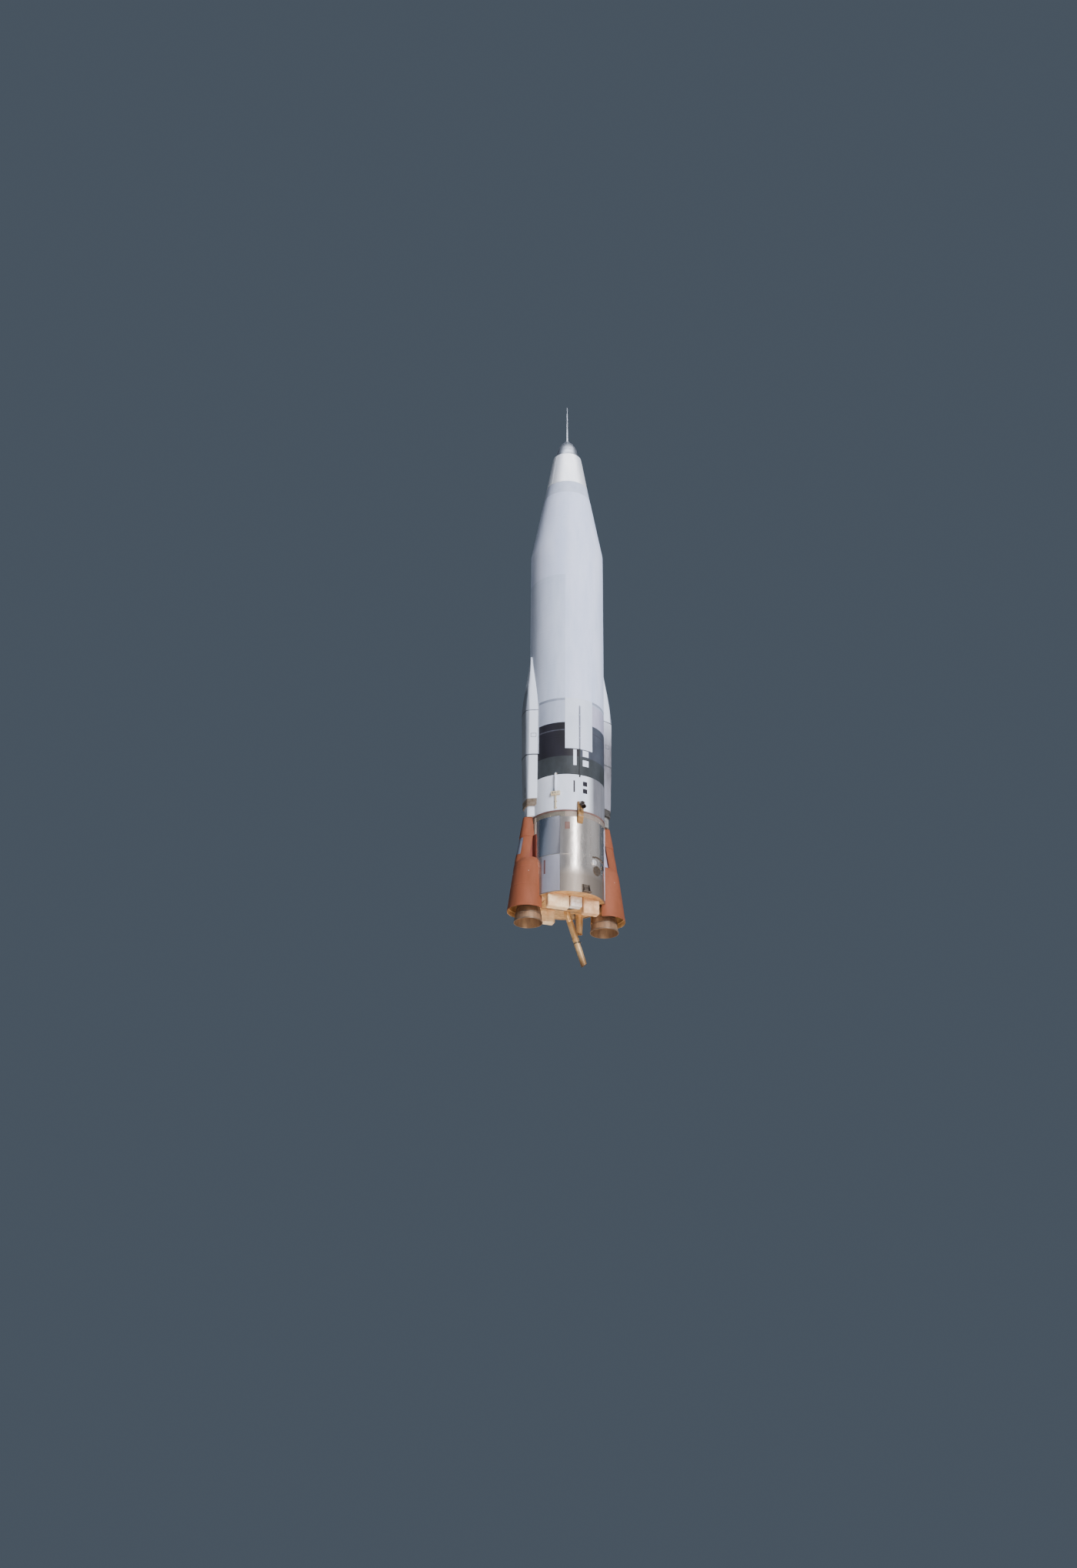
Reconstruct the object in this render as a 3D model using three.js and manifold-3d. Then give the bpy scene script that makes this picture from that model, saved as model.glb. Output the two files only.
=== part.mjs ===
// Space rocket with two swivelling booster engines, shown without a launch stand.
// Millimetres, +Z up. The origin is on the rocket's axis, on the underside of the plate
// that closes the middle of its tail. The boosters lie along X, the front faces -Y.

import * as THREE from 'three';
import { mergeVertices } from 'three/addons/utils/BufferGeometryUtils.js';
import Module from 'manifold-3d';

const wasm = await Module();
wasm.setup();

// Driving dimensions
const SEAT = 0.3;                 // gap between pieces that touch
const SIDES = 72;                 // flats around the tank, one each 5 degrees
const STEP = 360 / SIDES;
const TANK_RADIUS = 1524;
const BARREL_WALL = 30;
const BARREL_TOP = 3400;
const RING_TOP = 3473;
const RING_PROUD = 12;
const TANK_SPLIT = 8480;          // weld between the fuel tank and the oxidiser tank
const CONE_BOTTOM = 15990;
const CONE_TOP = 19440;
const CONE_TOP_RADIUS = 891;
const SHOULDER_HEIGHT = 21050;
const SHOULDER_RADIUS = 616;
const CAP_TOP = 22040;
const PROBE_TIP = 23995;

const ENGINE_X = 1590;            // booster engine axis
const GIMBAL_HEIGHT = 1100;
const EXIT_HEIGHT = -950;
const EXIT_RADIUS = 560;
const CHAMBER_TOP = 850;
const SHIELD_BOTTOM = 40;
const SHIELD_TOP = 70;
const BAY_HALF = 550;             // half width of the bay that the barrel leaves to each engine
const BAY_TOP = 1450;

const FLARE_BOTTOM = -500;
const FLARE_SHOULDER = 1280;
const FLARE_TOP = 1780;
const LIP_BOTTOM = 2620;
const SPINE_TOP = 3520;
const COLLAR_TOP = 3970;
const POD_BOTTOM = 4240;
const POD_JOINT = 8220;
const POD_TIP = 10900;

// Finishes
const finish = (color, roughness, metalness) =>
  new THREE.MeshStandardMaterial({ color, roughness, metalness });
const whitePaint = finish(0xe6e9ee, 0.5, 0.0);
const greyPaint = finish(0x4a4e55, 0.5, 0.0);
const redPaint = finish(0x9c5a45, 0.6, 0.0);
const brightSteel = finish(0xb4b8bd, 0.28, 1.0);
const aluminium = finish(0xc9ccd1, 0.35, 1.0);
const darkSteel = finish(0x4a4744, 0.5, 0.9);
const insulation = finish(0xb08a4e, 0.7, 0.1);
const ringPaint = finish(0x57584d, 0.6, 0.2);

// Solids

// A closed solid from a geometry: points joined, faces without area dropped, faces outward.
function solid(geometry) {
  geometry.deleteAttribute('normal');
  geometry.deleteAttribute('uv');
  const merged = mergeVertices(geometry, 0.01);
  const points = merged.attributes.position.array;
  const index = merged.index.array;
  const corner = (i) => new THREE.Vector3().fromArray(points, 3 * i);
  const faces = [];
  let volume = 0;
  for (let i = 0; i < index.length; i += 3) {
    const [a, b, c] = index.slice(i, i + 3);
    if (a === b || b === c || c === a) continue;
    faces.push([a, b, c]);
    volume += corner(a).dot(corner(b).cross(corner(c)));
  }
  const outward = volume < 0 ? faces.map(([a, b, c]) => [a, c, b]) : faces;
  return new wasm.Manifold(new wasm.Mesh({
    numProp: 3,
    vertProperties: Float32Array.from(points),
    triVerts: Uint32Array.from(outward.flat()),
  }));
}

const moved = (body, x, y, z) => body.translate([x, y, z]);
const joined = (...bodies) => bodies.reduce((sum, body) => sum.add(body));
const without = (body, ...cuts) => cuts.reduce((rest, cut) => rest.subtract(cut), body);

// A turned solid about Z from a profile of [radius, height] points. With a lean, its axis
// moves along X by that share of the height.
function turned(profile, sides = SIDES, lean = 0) {
  const points = profile.map(([radius, height]) => new THREE.Vector2(radius, height));
  const shear = new THREE.Matrix4().set(1, 0, lean, 0, 0, 1, 0, 0, 0, 0, 1, 0, 0, 0, 0, 1);
  return solid(new THREE.LatheGeometry(points, sides).rotateX(Math.PI / 2).applyMatrix4(shear));
}

function disc(radius, bottom, top, sides = SIDES) {
  return turned([[0, bottom], [radius, bottom], [radius, top], [0, top]], sides);
}

// A turned wall about Z, between an outer and an inner profile of [radius, height] points.
function turnedWall(outer, inner, sides = SIDES) {
  return turned([...outer, ...inner.toReversed(), outer[0]], sides);
}

function box(x0, x1, y0, y1, z0, z1) {
  const shape = new THREE.BoxGeometry(x1 - x0, y1 - y0, z1 - z0);
  return solid(shape.translate((x0 + x1) / 2, (y0 + y1) / 2, (z0 + z1) / 2));
}

// An outline of [x, y] points drawn up along Z.
function plate(outline, bottom, top) {
  const shape = new THREE.Shape(outline.map(([x, y]) => new THREE.Vector2(x, y)));
  const slab = new THREE.ExtrudeGeometry(shape, { depth: top - bottom, bevelEnabled: false });
  return solid(slab.translate(0, 0, bottom));
}

// An outline of [along, height] points in the X-Z plane, drawn across Y between two planes.
function sidePlate(outline, y0, y1) {
  return plate(outline.map(([x, z]) => [x, -z]), y0, y1).rotate([-90, 0, 0]);
}

function rod(from, to, radius, sides = 16) {
  const start = new THREE.Vector3(...from);
  const along = new THREE.Vector3(...to).sub(start);
  const shape = new THREE.CylinderGeometry(radius, radius, along.length(), sides);
  const turn = new THREE.Quaternion().setFromUnitVectors(
    new THREE.Vector3(0, 1, 0), along.clone().normalize());
  const middle = start.addScaledVector(along, 0.5);
  return solid(shape.applyQuaternion(turn).translate(middle.x, middle.y, middle.z));
}

// Half of a rounded outline: depth 0 to 1 away from the tank, width -1 to 1 at full depth.
// A squareness of 2 gives a half ellipse, more gives flatter sides. The sides spread toward
// the tank, where the outline is wider by the share spread.
function halfRound(squareness, steps, spread = 0) {
  const outline = [];
  for (let i = 0; i <= steps; i += 1) {
    const turn = Math.PI * (i / steps - 0.5);
    const depth = i === 0 || i === steps ? 0 : Math.abs(Math.cos(turn)) ** (2 / squareness);
    const width = Math.sign(turn) * Math.abs(Math.sin(turn)) ** (2 / squareness);
    outline.push([depth, width * (1 + spread * (1 - depth))]);
  }
  return outline;
}

// A fairing on the +X side whose section is one outline, sized at each level.
// Columns of a level: height, reach from the rocket's axis, half width.
function fairing(outline, levels, root = TANK_RADIUS - 120) {
  const shape = new THREE.Shape(outline.map(([x, y]) => new THREE.Vector2(x, y)));
  const last = levels.length - 1;
  const drawn = new THREE.ExtrudeGeometry(shape, { depth: last, steps: last, bevelEnabled: false });
  const at = drawn.attributes.position;
  for (let i = 0; i < at.count; i += 1) {
    const [height, reach, half] = levels[Math.round(at.getZ(i))];
    at.setXYZ(i, root + at.getX(i) * (reach - root), at.getY(i) * half, height);
  }
  return solid(drawn);
}

// Turned about the rocket's axis: degrees from the front, positive toward +X.
const around = (body, degrees) => body.rotate([0, 0, degrees]);

// The tank's outer form and the proud ring, grown by the seat, for fitting what they carry.
const skin = disc(TANK_RADIUS + SEAT, -1000, POD_TIP + 500);
const ringSeat = disc(TANK_RADIUS + RING_PROUD + SEAT, BARREL_TOP - SEAT, RING_TOP + SEAT);
const fitted = (body) => without(body, skin, ringSeat);

const rocket = new THREE.Group();

function place(name, body, material) {
  const { numProp, vertProperties, triVerts } = body.getMesh();
  const geometry = new THREE.BufferGeometry();
  const points = new Float32Array(vertProperties.length / numProp * 3);
  for (let i = 0; i < points.length; i += 1) {
    points[i] = vertProperties[Math.floor(i / 3) * numProp + i % 3];
  }
  geometry.setAttribute('position', new THREE.BufferAttribute(points, 3));
  geometry.setIndex(new THREE.BufferAttribute(Uint32Array.from(triVerts), 1));
  geometry.computeVertexNormals();
  const mesh = new THREE.Mesh(geometry, material);
  mesh.name = name;
  rocket.add(mesh);
}

// The two sides and the two faces, with the half turn that carries one to the other.
const SIDES_OF_ROCKET = [['right', 0], ['left', 180]];
const FACES_OF_ROCKET = [['front', 0], ['rear', 180]];

// Tanks and nose

place('fuel_tank', disc(TANK_RADIUS, RING_TOP + SEAT, TANK_SPLIT), whitePaint);
place('oxidiser_tank', disc(TANK_RADIUS, TANK_SPLIT + SEAT, CONE_BOTTOM), whitePaint);
place('tank_cone', turned([
  [0, CONE_BOTTOM + SEAT],
  [TANK_RADIUS, CONE_BOTTOM + SEAT],
  [CONE_TOP_RADIUS, CONE_TOP],
  [0, CONE_TOP],
]), whitePaint);

// The nose cone is sheet metal with a rounded shoulder around the cap.
const SHOULDER_ROUND = 60;
function noseProfile() {
  const profile = [[0, CONE_TOP + SEAT], [CONE_TOP_RADIUS, CONE_TOP + SEAT]];
  for (let turn = 0; turn <= 90; turn += 45) {
    const radians = THREE.MathUtils.degToRad(turn);
    profile.push([
      SHOULDER_RADIUS - SHOULDER_ROUND * (1 - Math.cos(radians)),
      SHOULDER_HEIGHT + SHOULDER_ROUND * Math.sin(radians),
    ]);
  }
  profile.push([0, SHOULDER_HEIGHT + SHOULDER_ROUND]);
  return profile;
}
place('nose_cone', turned(noseProfile(), 48), aluminium);

const CAP_RADIUS = 490;
const CAP_BASE = SHOULDER_HEIGHT + SHOULDER_ROUND + SEAT;
function capProfile() {
  const profile = [[0, CAP_BASE]];
  for (let turn = 0; turn < 90; turn += 15) {
    const radians = THREE.MathUtils.degToRad(turn);
    profile.push([
      CAP_RADIUS * Math.cos(radians),
      CAP_BASE + (CAP_TOP - CAP_BASE) * Math.sin(radians),
    ]);
  }
  profile.push([0, CAP_TOP]);
  return profile;
}
place('nose_cap', turned(capProfile(), 36), aluminium);

const PROBE_SEAT_RADIUS = 110;
const PROBE_RADIUS = 50;
place('nose_probe', turned([
  [0, CAP_TOP + SEAT],
  [PROBE_SEAT_RADIUS, CAP_TOP + SEAT],
  [PROBE_SEAT_RADIUS, CAP_TOP + 25],
  [PROBE_RADIUS, CAP_TOP + 60],
  [PROBE_RADIUS * 0.7, CAP_TOP + 1200],
  [0, PROBE_TIP],
], 24), aluminium);

// Tail: the ring at the foot of the tanks and the thrust barrel with its two engine bays

place('tank_ring', disc(TANK_RADIUS + RING_PROUD, BARREL_TOP + SEAT, RING_TOP), ringPaint);

const barrelShell = turnedWall(
  [[TANK_RADIUS, 0], [TANK_RADIUS, BARREL_TOP]],
  [[TANK_RADIUS - BARREL_WALL, 0], [TANK_RADIUS - BARREL_WALL, BARREL_TOP]],
);
place('thrust_barrel', without(
  barrelShell,
  box(-2 * TANK_RADIUS, 2 * TANK_RADIUS, -BAY_HALF, BAY_HALF, -1, BAY_TOP),
), brightSteel);

const SHIELD_HOLE = 640;
const shieldRadius = TANK_RADIUS - BARREL_WALL - SEAT;
place('base_shield', without(
  disc(shieldRadius, SHIELD_BOTTOM, SHIELD_TOP),
  moved(disc(SHIELD_HOLE, 0, 100, 48), ENGINE_X, 0, 0),
  moved(disc(SHIELD_HOLE, 0, 100, 48), -ENGINE_X, 0, 0),
), insulation);

const CLOSURE_RADIUS = 450;
place('centre_closure_plate', disc(CLOSURE_RADIUS, 0, SHIELD_BOTTOM - SEAT, 48), darkSteel);

// Insulated boxes under the shield. Columns: place, x from, x to, depth below the shield, side.
// The side is -1 at the front and 1 at the rear, where a duct takes the place of two boxes.
const BOX_NEAR = 660;
const BOX_FAR = 1000;
const BOX_ROUND = 60;
const SHIELD_BOXES = [
  ['front_left', -1120, -230, 520, -1],
  ['front_middle', -190, 310, 400, -1],
  ['front_right', 350, 1020, 620, -1],
  ['rear_left', -1120, -230, 520, 1],
];
function roundedBox(x0, x1, y0, y1, z0, z1) {
  const shape = new THREE.Shape();
  const r = BOX_ROUND;
  shape.moveTo(x0 + r, y0);
  shape.absarc(x1 - r, y0 + r, r, -Math.PI / 2, 0);
  shape.absarc(x1 - r, y1 - r, r, 0, Math.PI / 2);
  shape.absarc(x0 + r, y1 - r, r, Math.PI / 2, Math.PI);
  shape.absarc(x0 + r, y0 + r, r, Math.PI, 1.5 * Math.PI);
  const options = { depth: z1 - z0, bevelEnabled: false, curveSegments: 4 };
  return solid(new THREE.ExtrudeGeometry(shape, options).translate(0, 0, z0));
}
for (const [name, from, to, depth, side] of SHIELD_BOXES) {
  const near = side < 0 ? -BOX_FAR : BOX_NEAR;
  const far = side < 0 ? -BOX_NEAR : BOX_FAR;
  const hung = roundedBox(from, to, near, far, -depth, SHIELD_BOTTOM - SEAT);
  place(`shield_box_${name}`, hung, insulation);
}

// Turbine exhaust: a long slanted duct with a scarfed mouth and a brace, and a short stub
const DUCT_RADIUS = 125;
const DUCT_WALL = 8;
const DUCT_SIDES = 32;
const DUCT_START = new THREE.Vector3(300, 750, 0);
const DUCT_LEAN = new THREE.Vector3(590, -210, -2060);
const DUCT_MOUTH = -2350;
const SCARF_TURN = -40;
const SCARF_SHARE = 1.07;         // of the way down the duct, where the slanted cut crosses it
const BRACE_TOP = [650, 880, 200];
const BRACE_SHARE = 0.62;
const BRACE_RADIUS = 18;
const ductPoint = (share) => DUCT_START.clone().addScaledVector(DUCT_LEAN, share).toArray();
const ductOuter = rod(ductPoint(-0.2), ductPoint(1.3), DUCT_RADIUS, DUCT_SIDES);
const ductInner = rod(ductPoint(-0.3), ductPoint(1.4), DUCT_RADIUS - DUCT_WALL, DUCT_SIDES);
const aboveSeat = box(-1000, 2000, -2000, 2000, SHIELD_BOTTOM - SEAT, 2000);
const scarf = box(-2000, 2000, -1000, 2000, -2000, 0).rotate([0, SCARF_TURN, 0]);
const [scarfX, , scarfZ] = ductPoint(SCARF_SHARE);
const brace = rod(BRACE_TOP, ductPoint(BRACE_SHARE), BRACE_RADIUS);
place('exhaust_duct', without(
  joined(ductOuter, brace),
  ductInner,
  aboveSeat,
  moved(scarf, scarfX, 0, scarfZ),
  box(-1000, 2000, -2000, 2000, -4000, DUCT_MOUTH),
), darkSteel);

const STUB_AT = [890, 950];
const STUB_BOTTOM = -730;
const STUB_BEND = -300;           // above it the stub is straight, below it narrows
const STUB_RADIUS = 140;
const STUB_MOUTH_RADIUS = 120;
const stubWall = (inset) => [
  [STUB_MOUTH_RADIUS - inset, STUB_BOTTOM],
  [STUB_RADIUS - inset, STUB_BEND],
  [STUB_RADIUS - inset, SHIELD_BOTTOM - SEAT],
];
const stub = turnedWall(stubWall(0), stubWall(DUCT_WALL), DUCT_SIDES);
place('exhaust_stub', moved(stub, ...STUB_AT, 0), darkSteel);

// Booster engines, each hung from the beam by a cross on two crossed pairs of pins
const BEAM_BOTTOM = 1250;
const BEAM_HALF = 130;
const BEAM_REACH = 1850;
const CHEEK_NEAR = 85;            // clevis cheeks, from the middle of the cross
const CHEEK_FAR = 115;
const CHEEK_HALF = 60;
const CHEEK_BELOW = 60;
const CROSS_HALF = 55;
const PIN_RADIUS = 28;
const PIN_SIDES = 16;
const bore = (radius, sides) => (radius + SEAT) / Math.cos(Math.PI / sides);

// Two cheeks either side of the gimbal, square to Y, with the bore for the pins.
function clevis(bottom, top) {
  const cheek = box(-CHEEK_HALF, CHEEK_HALF, CHEEK_NEAR, CHEEK_FAR, bottom, top);
  const hole = rod([0, -200, GIMBAL_HEIGHT], [0, 200, GIMBAL_HEIGHT],
    bore(PIN_RADIUS, PIN_SIDES), PIN_SIDES);
  return without(joined(cheek, cheek.mirror([0, 1, 0])), hole);
}
const beamClevis = clevis(GIMBAL_HEIGHT - CHEEK_BELOW, BEAM_BOTTOM + 10);
place('thrust_beam', joined(
  box(-BEAM_REACH, BEAM_REACH, -BEAM_HALF, BEAM_HALF, BEAM_BOTTOM, BAY_TOP - SEAT),
  moved(beamClevis, ENGINE_X, 0, 0),
  moved(beamClevis, -ENGINE_X, 0, 0),
), darkSteel);

const cross = joined(
  box(-CROSS_HALF, CROSS_HALF, -CROSS_HALF, CROSS_HALF,
    GIMBAL_HEIGHT - CROSS_HALF, GIMBAL_HEIGHT + CROSS_HALF),
  rod([0, -CHEEK_FAR, GIMBAL_HEIGHT], [0, CHEEK_FAR, GIMBAL_HEIGHT], PIN_RADIUS, PIN_SIDES),
  rod([-CHEEK_FAR, 0, GIMBAL_HEIGHT], [CHEEK_FAR, 0, GIMBAL_HEIGHT], PIN_RADIUS, PIN_SIDES),
);

// The bell and chamber wall. Columns: outer radius, height.
const BELL = [
  [EXIT_RADIUS, EXIT_HEIGHT],
  [490, -500],
  [375, 0],
  [290, 180],
  [205, 280],
  [200, 330],
  [260, 450],
  [260, CHAMBER_TOP],
];
const BELL_WALL = 14;
const BELL_SIDES = 32;
const BELL_BANDS = [EXIT_HEIGHT + 15, -640];
const BAND_HALF = 15;
const BAND_PROUD = 14;
function bellRadius(height) {
  const above = BELL.findIndex(([, level]) => level > height);
  const [[r0, z0], [r1, z1]] = [BELL[above - 1], BELL[above]];
  return r0 + (r1 - r0) * (height - z0) / (z1 - z0);
}
function band(height) {
  const radius = bellRadius(height);
  return turnedWall(
    [[radius + BAND_PROUD, height - BAND_HALF], [radius + BAND_PROUD, height + BAND_HALF]],
    [[radius - BELL_WALL / 2, height - BAND_HALF], [radius - BELL_WALL / 2, height + BAND_HALF]],
    BELL_SIDES,
  );
}
const bell = joined(
  turnedWall(BELL, BELL.map(([radius, height]) => [radius - BELL_WALL, height]), BELL_SIDES),
  ...BELL_BANDS.map(band),
);

const injector = joined(
  turned([
    [0, CHAMBER_TOP + SEAT],
    [290, CHAMBER_TOP + SEAT],
    [290, CHAMBER_TOP + 40],
    [245, CHAMBER_TOP + 50],
    [190, CHAMBER_TOP + 85],
    [130, CHAMBER_TOP + 105],
    [0, CHAMBER_TOP + 110],
  ], 24),
  clevis(CHAMBER_TOP + 60, GIMBAL_HEIGHT + CHEEK_BELOW).rotate([0, 0, 90]),
);

for (const [side, turn] of SIDES_OF_ROCKET) {
  const set = (body) => around(moved(body, ENGINE_X, 0, 0), turn);
  place(`gimbal_cross_${side}`, set(cross), darkSteel);
  place(`injector_dome_${side}`, set(injector), darkSteel);
  place(`thrust_chamber_${side}`, set(bell), darkSteel);
}

// Engine nacelles: an open flare with a rounded shoulder, and a spine that carries its outer
// line on up to the pod. The spine is hollowed on both flanks below its lip.
const FLARE_AXIS = 1640;          // where the flare's leaning axis passes the tail plane
const FLARE_LEAN = -0.063;
const FLARE_WALL = 15;
const FLARE_SIDES = 48;
const FLARE_INBOARD = 1250;
const FOOT_RADIUS = 760;
const SHOULDER_START_RADIUS = 632;
const SHOULDER_SQUARENESS = 2.5;
const shoulder = (share) => [
  SHOULDER_START_RADIUS * (1 - share ** SHOULDER_SQUARENESS) ** (1 / SHOULDER_SQUARENESS),
  FLARE_SHOULDER + (FLARE_TOP - FLARE_SHOULDER) * share,
];
const FLARE = [[FOOT_RADIUS, FLARE_BOTTOM], ...[0, 0.35, 0.6, 0.8, 0.93, 1].map(shoulder)];
const flareOuter = turned([[0, FLARE_BOTTOM], ...FLARE], FLARE_SIDES, FLARE_LEAN);
const flareInner = turned([
  [0, FLARE_BOTTOM - 10],
  ...FLARE.map(([radius, height], i) => [
    Math.max(0, radius - FLARE_WALL),
    i === 0 ? height - 10 : height - FLARE_WALL,
  ]),
], FLARE_SIDES, FLARE_LEAN);
const flare = without(
  moved(without(flareOuter, flareInner), FLARE_AXIS, 0, 0),
  disc(TANK_RADIUS + SEAT, -SEAT, FLARE_TOP + 100),
  box(0, FLARE_INBOARD, -1000, 1000, FLARE_BOTTOM - 100, 0),
);

const NECK = [
  [FLARE_SHOULDER, 2165, 400],
  [1580, 2160, 350],
  [LIP_BOTTOM + 10, 1966, 350],
];
const SPINE = [
  [LIP_BOTTOM, 1982, 366],
  [SPINE_TOP, 1840, 205],
];
const HOLLOW_INNER = 235;
const HOLLOW_OUTER = 500;
const hollow = sidePlate([
  [1450, 1740],
  [1690, 1740],
  [1536, LIP_BOTTOM + 40],
  [1450, LIP_BOTTOM + 40],
], HOLLOW_INNER, HOLLOW_OUTER);
const spineSection = halfRound(2.4, 20);
const spine = without(
  joined(fairing(spineSection, NECK), fairing(spineSection, SPINE)),
  hollow,
  hollow.mirror([0, 1, 0]),
  moved(flareOuter, FLARE_AXIS, 0, SEAT),
);

// Equipment pods above the nacelles: a dark clamp on a white collar, the body, a slim nose
const COLLAR = [
  [SPINE_TOP + SEAT, 1750, 240],
  [COLLAR_TOP, 1750, 240],
];
const CLAMP = [
  [COLLAR_TOP - 10, 1802, 312],
  [POD_BOTTOM - SEAT, 1808, 326],
];
const POD = [
  [POD_BOTTOM, 1812, 338],
  [6190, 1862, 342],
  [POD_JOINT - SEAT, 1882, 345],
];

// Level of the pod's nose at a share of its length: it thins into the tank, first slowly.
const POD_TIP_REACH = 1590;
const POD_TIP_HALF = 20;
const POD_NOSE_STEPS = 6;
function podNoseLevel(share) {
  const [, reach, half] = POD[POD.length - 1];
  const fall = ((1 - share) + (1 + Math.cos(Math.PI * share)) / 2) / 2;
  return [
    POD_JOINT + (POD_TIP - POD_JOINT) * share,
    POD_TIP_REACH + (reach - POD_TIP_REACH) * fall,
    POD_TIP_HALF + (half - POD_TIP_HALF) * (1 - share ** 1.7),
  ];
}
const POD_NOSE = Array.from({ length: POD_NOSE_STEPS + 1 }, (_, i) => podNoseLevel(i / POD_NOSE_STEPS));
const podSection = halfRound(4.5, 20, 0.55);

for (const [side, turn] of SIDES_OF_ROCKET) {
  const set = (body) => around(fitted(body), turn);
  const foot = joined(fairing(podSection, COLLAR), fairing(podSection, CLAMP));
  place(`nacelle_flare_${side}`, around(flare, turn), redPaint);
  place(`nacelle_spine_${side}`, set(spine), redPaint);
  place(`pod_base_${side}`, set(foot), whitePaint);
  place(`pod_body_${side}`, set(fairing(podSection, POD)), whitePaint);
  place(`pod_nose_${side}`, set(fairing(podSection, POD_NOSE)), whitePaint);
}

// Fittings on the skin. Each is drawn on the +X side and turned to its place.
const onSkin = (body, degrees) => fitted(around(body, degrees - 90));

// Conduit over the cables, with sloping ends. Columns as a fairing's.
const CONDUIT_HALF = 30;
const CONDUIT = [
  [4930, 1528, CONDUIT_HALF],
  [5000, 1570, CONDUIT_HALF],
  [8090, 1570, CONDUIT_HALF],
  [8160, 1528, CONDUIT_HALF],
];
for (const [face, turn] of FACES_OF_ROCKET) {
  const run = fairing(halfRound(6, 8), CONDUIT, TANK_RADIUS - 40);
  place(`conduit_${face}`, onSkin(run, turn), greyPaint);
}

// Service fitting at the front left: a fin over a small box on a thin leg
const FITTING_ANGLE = -36.5;
const finOutline = [
  [1480, 4280],
  [1610, 4280],
  [1640, 4400],
  [1640, 5010],
  [1540, 5130],
  [1480, 5130],
];
place('service_fitting', onSkin(joined(
  sidePlate(finOutline, -15, 15),
  box(1480, 1606, -190, 190, 4130, 4290),
  box(1480, 1572, -30, 30, RING_TOP + 60, 4140),
), FITTING_ANGLE), whitePaint);

// Curved access panels on the barrel, front left and rear right. They follow its flats.
// Columns: name, height from, height to, degrees from the front where the panel starts.
const PANEL_PROUD = 12;
const PANEL_TO = -30;
const PANELS = [
  ['upper', 1600, 3200, -65],
  ['lower', 30, 1560, -60],
];
function sector(inner, outer, from, to, bottom, top) {
  const outline = [];
  const add = (radius, degrees) => {
    const turn = THREE.MathUtils.degToRad(degrees);
    outline.push([radius * Math.sin(turn), -radius * Math.cos(turn)]);
  };
  for (let a = from; a <= to; a += STEP) add(outer, a);
  for (let a = to; a >= from; a -= STEP) add(inner, a);
  return plate(outline, bottom, top);
}
for (const [face, turn] of FACES_OF_ROCKET) {
  for (const [name, bottom, top, from] of PANELS) {
    const [inner, outer] = [TANK_RADIUS + SEAT, TANK_RADIUS + PANEL_PROUD];
    const panel = sector(inner, outer, from, PANEL_TO, bottom, top);
    place(`access_panel_${face}_${name}`, around(panel, turn), brightSteel);
  }
}

// Service disc and port at the front right of the barrel
const DISC_ANGLE = 24.6;
const DISC_HEIGHT = 1380;
const DISC_RADIUS = 120;
const DISC_FACE = 1572;
const PORT_ANGLE = 31;
const PORT_HEIGHT = 1070;
const PORT_RADIUS = 200;
const PORT_HOLE_RADIUS = 165;
const PORT_FACE = 1560;
const PORT_FLOOR = 1532;
const ROUND_ROOT = 1450;          // inside the skin, which cuts the pieces off
const outward = (x0, x1, height, radius) => rod([x0, 0, height], [x1, 0, height], radius, 32);
const capOnCoupling = outward(ROUND_ROOT, DISC_FACE, DISC_HEIGHT, DISC_RADIUS);
place('service_disc', onSkin(capOnCoupling, DISC_ANGLE), aluminium);
place('service_port', onSkin(without(
  outward(ROUND_ROOT, PORT_FACE, PORT_HEIGHT, PORT_RADIUS),
  outward(PORT_FLOOR, PORT_FACE + 40, PORT_HEIGHT, PORT_HOLE_RADIUS),
), PORT_ANGLE), darkSteel);

// Launch fittings: a foot with a flat underside and two gussets, front and rear of the barrel
const FOOT_REACH = 1680;
const FOOT_HALF = 180;
const FOOT_THICK = 30;
const GUSSET_NEAR = 110;
const GUSSET_FAR = 135;
const GUSSET_TOP = 340;
const LAUNCH_ANGLE = 10;
const gusset = sidePlate([
  [1480, 10],
  [1660, 10],
  [1560, GUSSET_TOP],
  [1480, GUSSET_TOP],
], GUSSET_NEAR, GUSSET_FAR);
const launchFitting = joined(
  box(1480, FOOT_REACH, -FOOT_HALF, FOOT_HALF, 0, FOOT_THICK),
  gusset,
  gusset.mirror([0, 1, 0]),
);
for (const [face, turn] of FACES_OF_ROCKET) {
  place(`launch_fitting_${face}`, onSkin(launchFitting, LAUNCH_ANGLE + turn), darkSteel);
}

// Small steering engines, front and rear: the yoke turns in the housing about a shaft that
// points away from the tank, and the chamber swings in the yoke about two level pins.
const VERNIER_X = 1820;           // where the pins cross the shaft's line
const VERNIER_HEIGHT = 3700;
const VERNIER_CANT = 30;          // of the chamber at rest, outward from straight down
const HOUSING_FACE = 1660;
const HOUSING_HALF = 120;
const SHAFT_RADIUS = 30;
const ARM_NEAR = 70;
const ARM_FAR = 95;
const ARM_HALF = 45;
const TRUNNION_RADIUS = 16;
const SHAFT_SIDES = 24;
const shaftLine = (x0, x1, radius, sides = SHAFT_SIDES) =>
  rod([x0, 0, VERNIER_HEIGHT], [x1, 0, VERNIER_HEIGHT], radius, sides);
const pinLine = (half, radius) =>
  rod([VERNIER_X, -half, VERNIER_HEIGHT], [VERNIER_X, half, VERNIER_HEIGHT], radius, PIN_SIDES);

const housing = without(
  sidePlate([
    [1480, 2900],
    [1545, 2920],
    [HOUSING_FACE, 3150],
    [HOUSING_FACE, 3790],
    [1610, 3830],
    [1480, 3830],
  ], -HOUSING_HALF, HOUSING_HALF),
  shaftLine(1590, 1700, bore(SHAFT_RADIUS, SHAFT_SIDES)),
);
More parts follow.
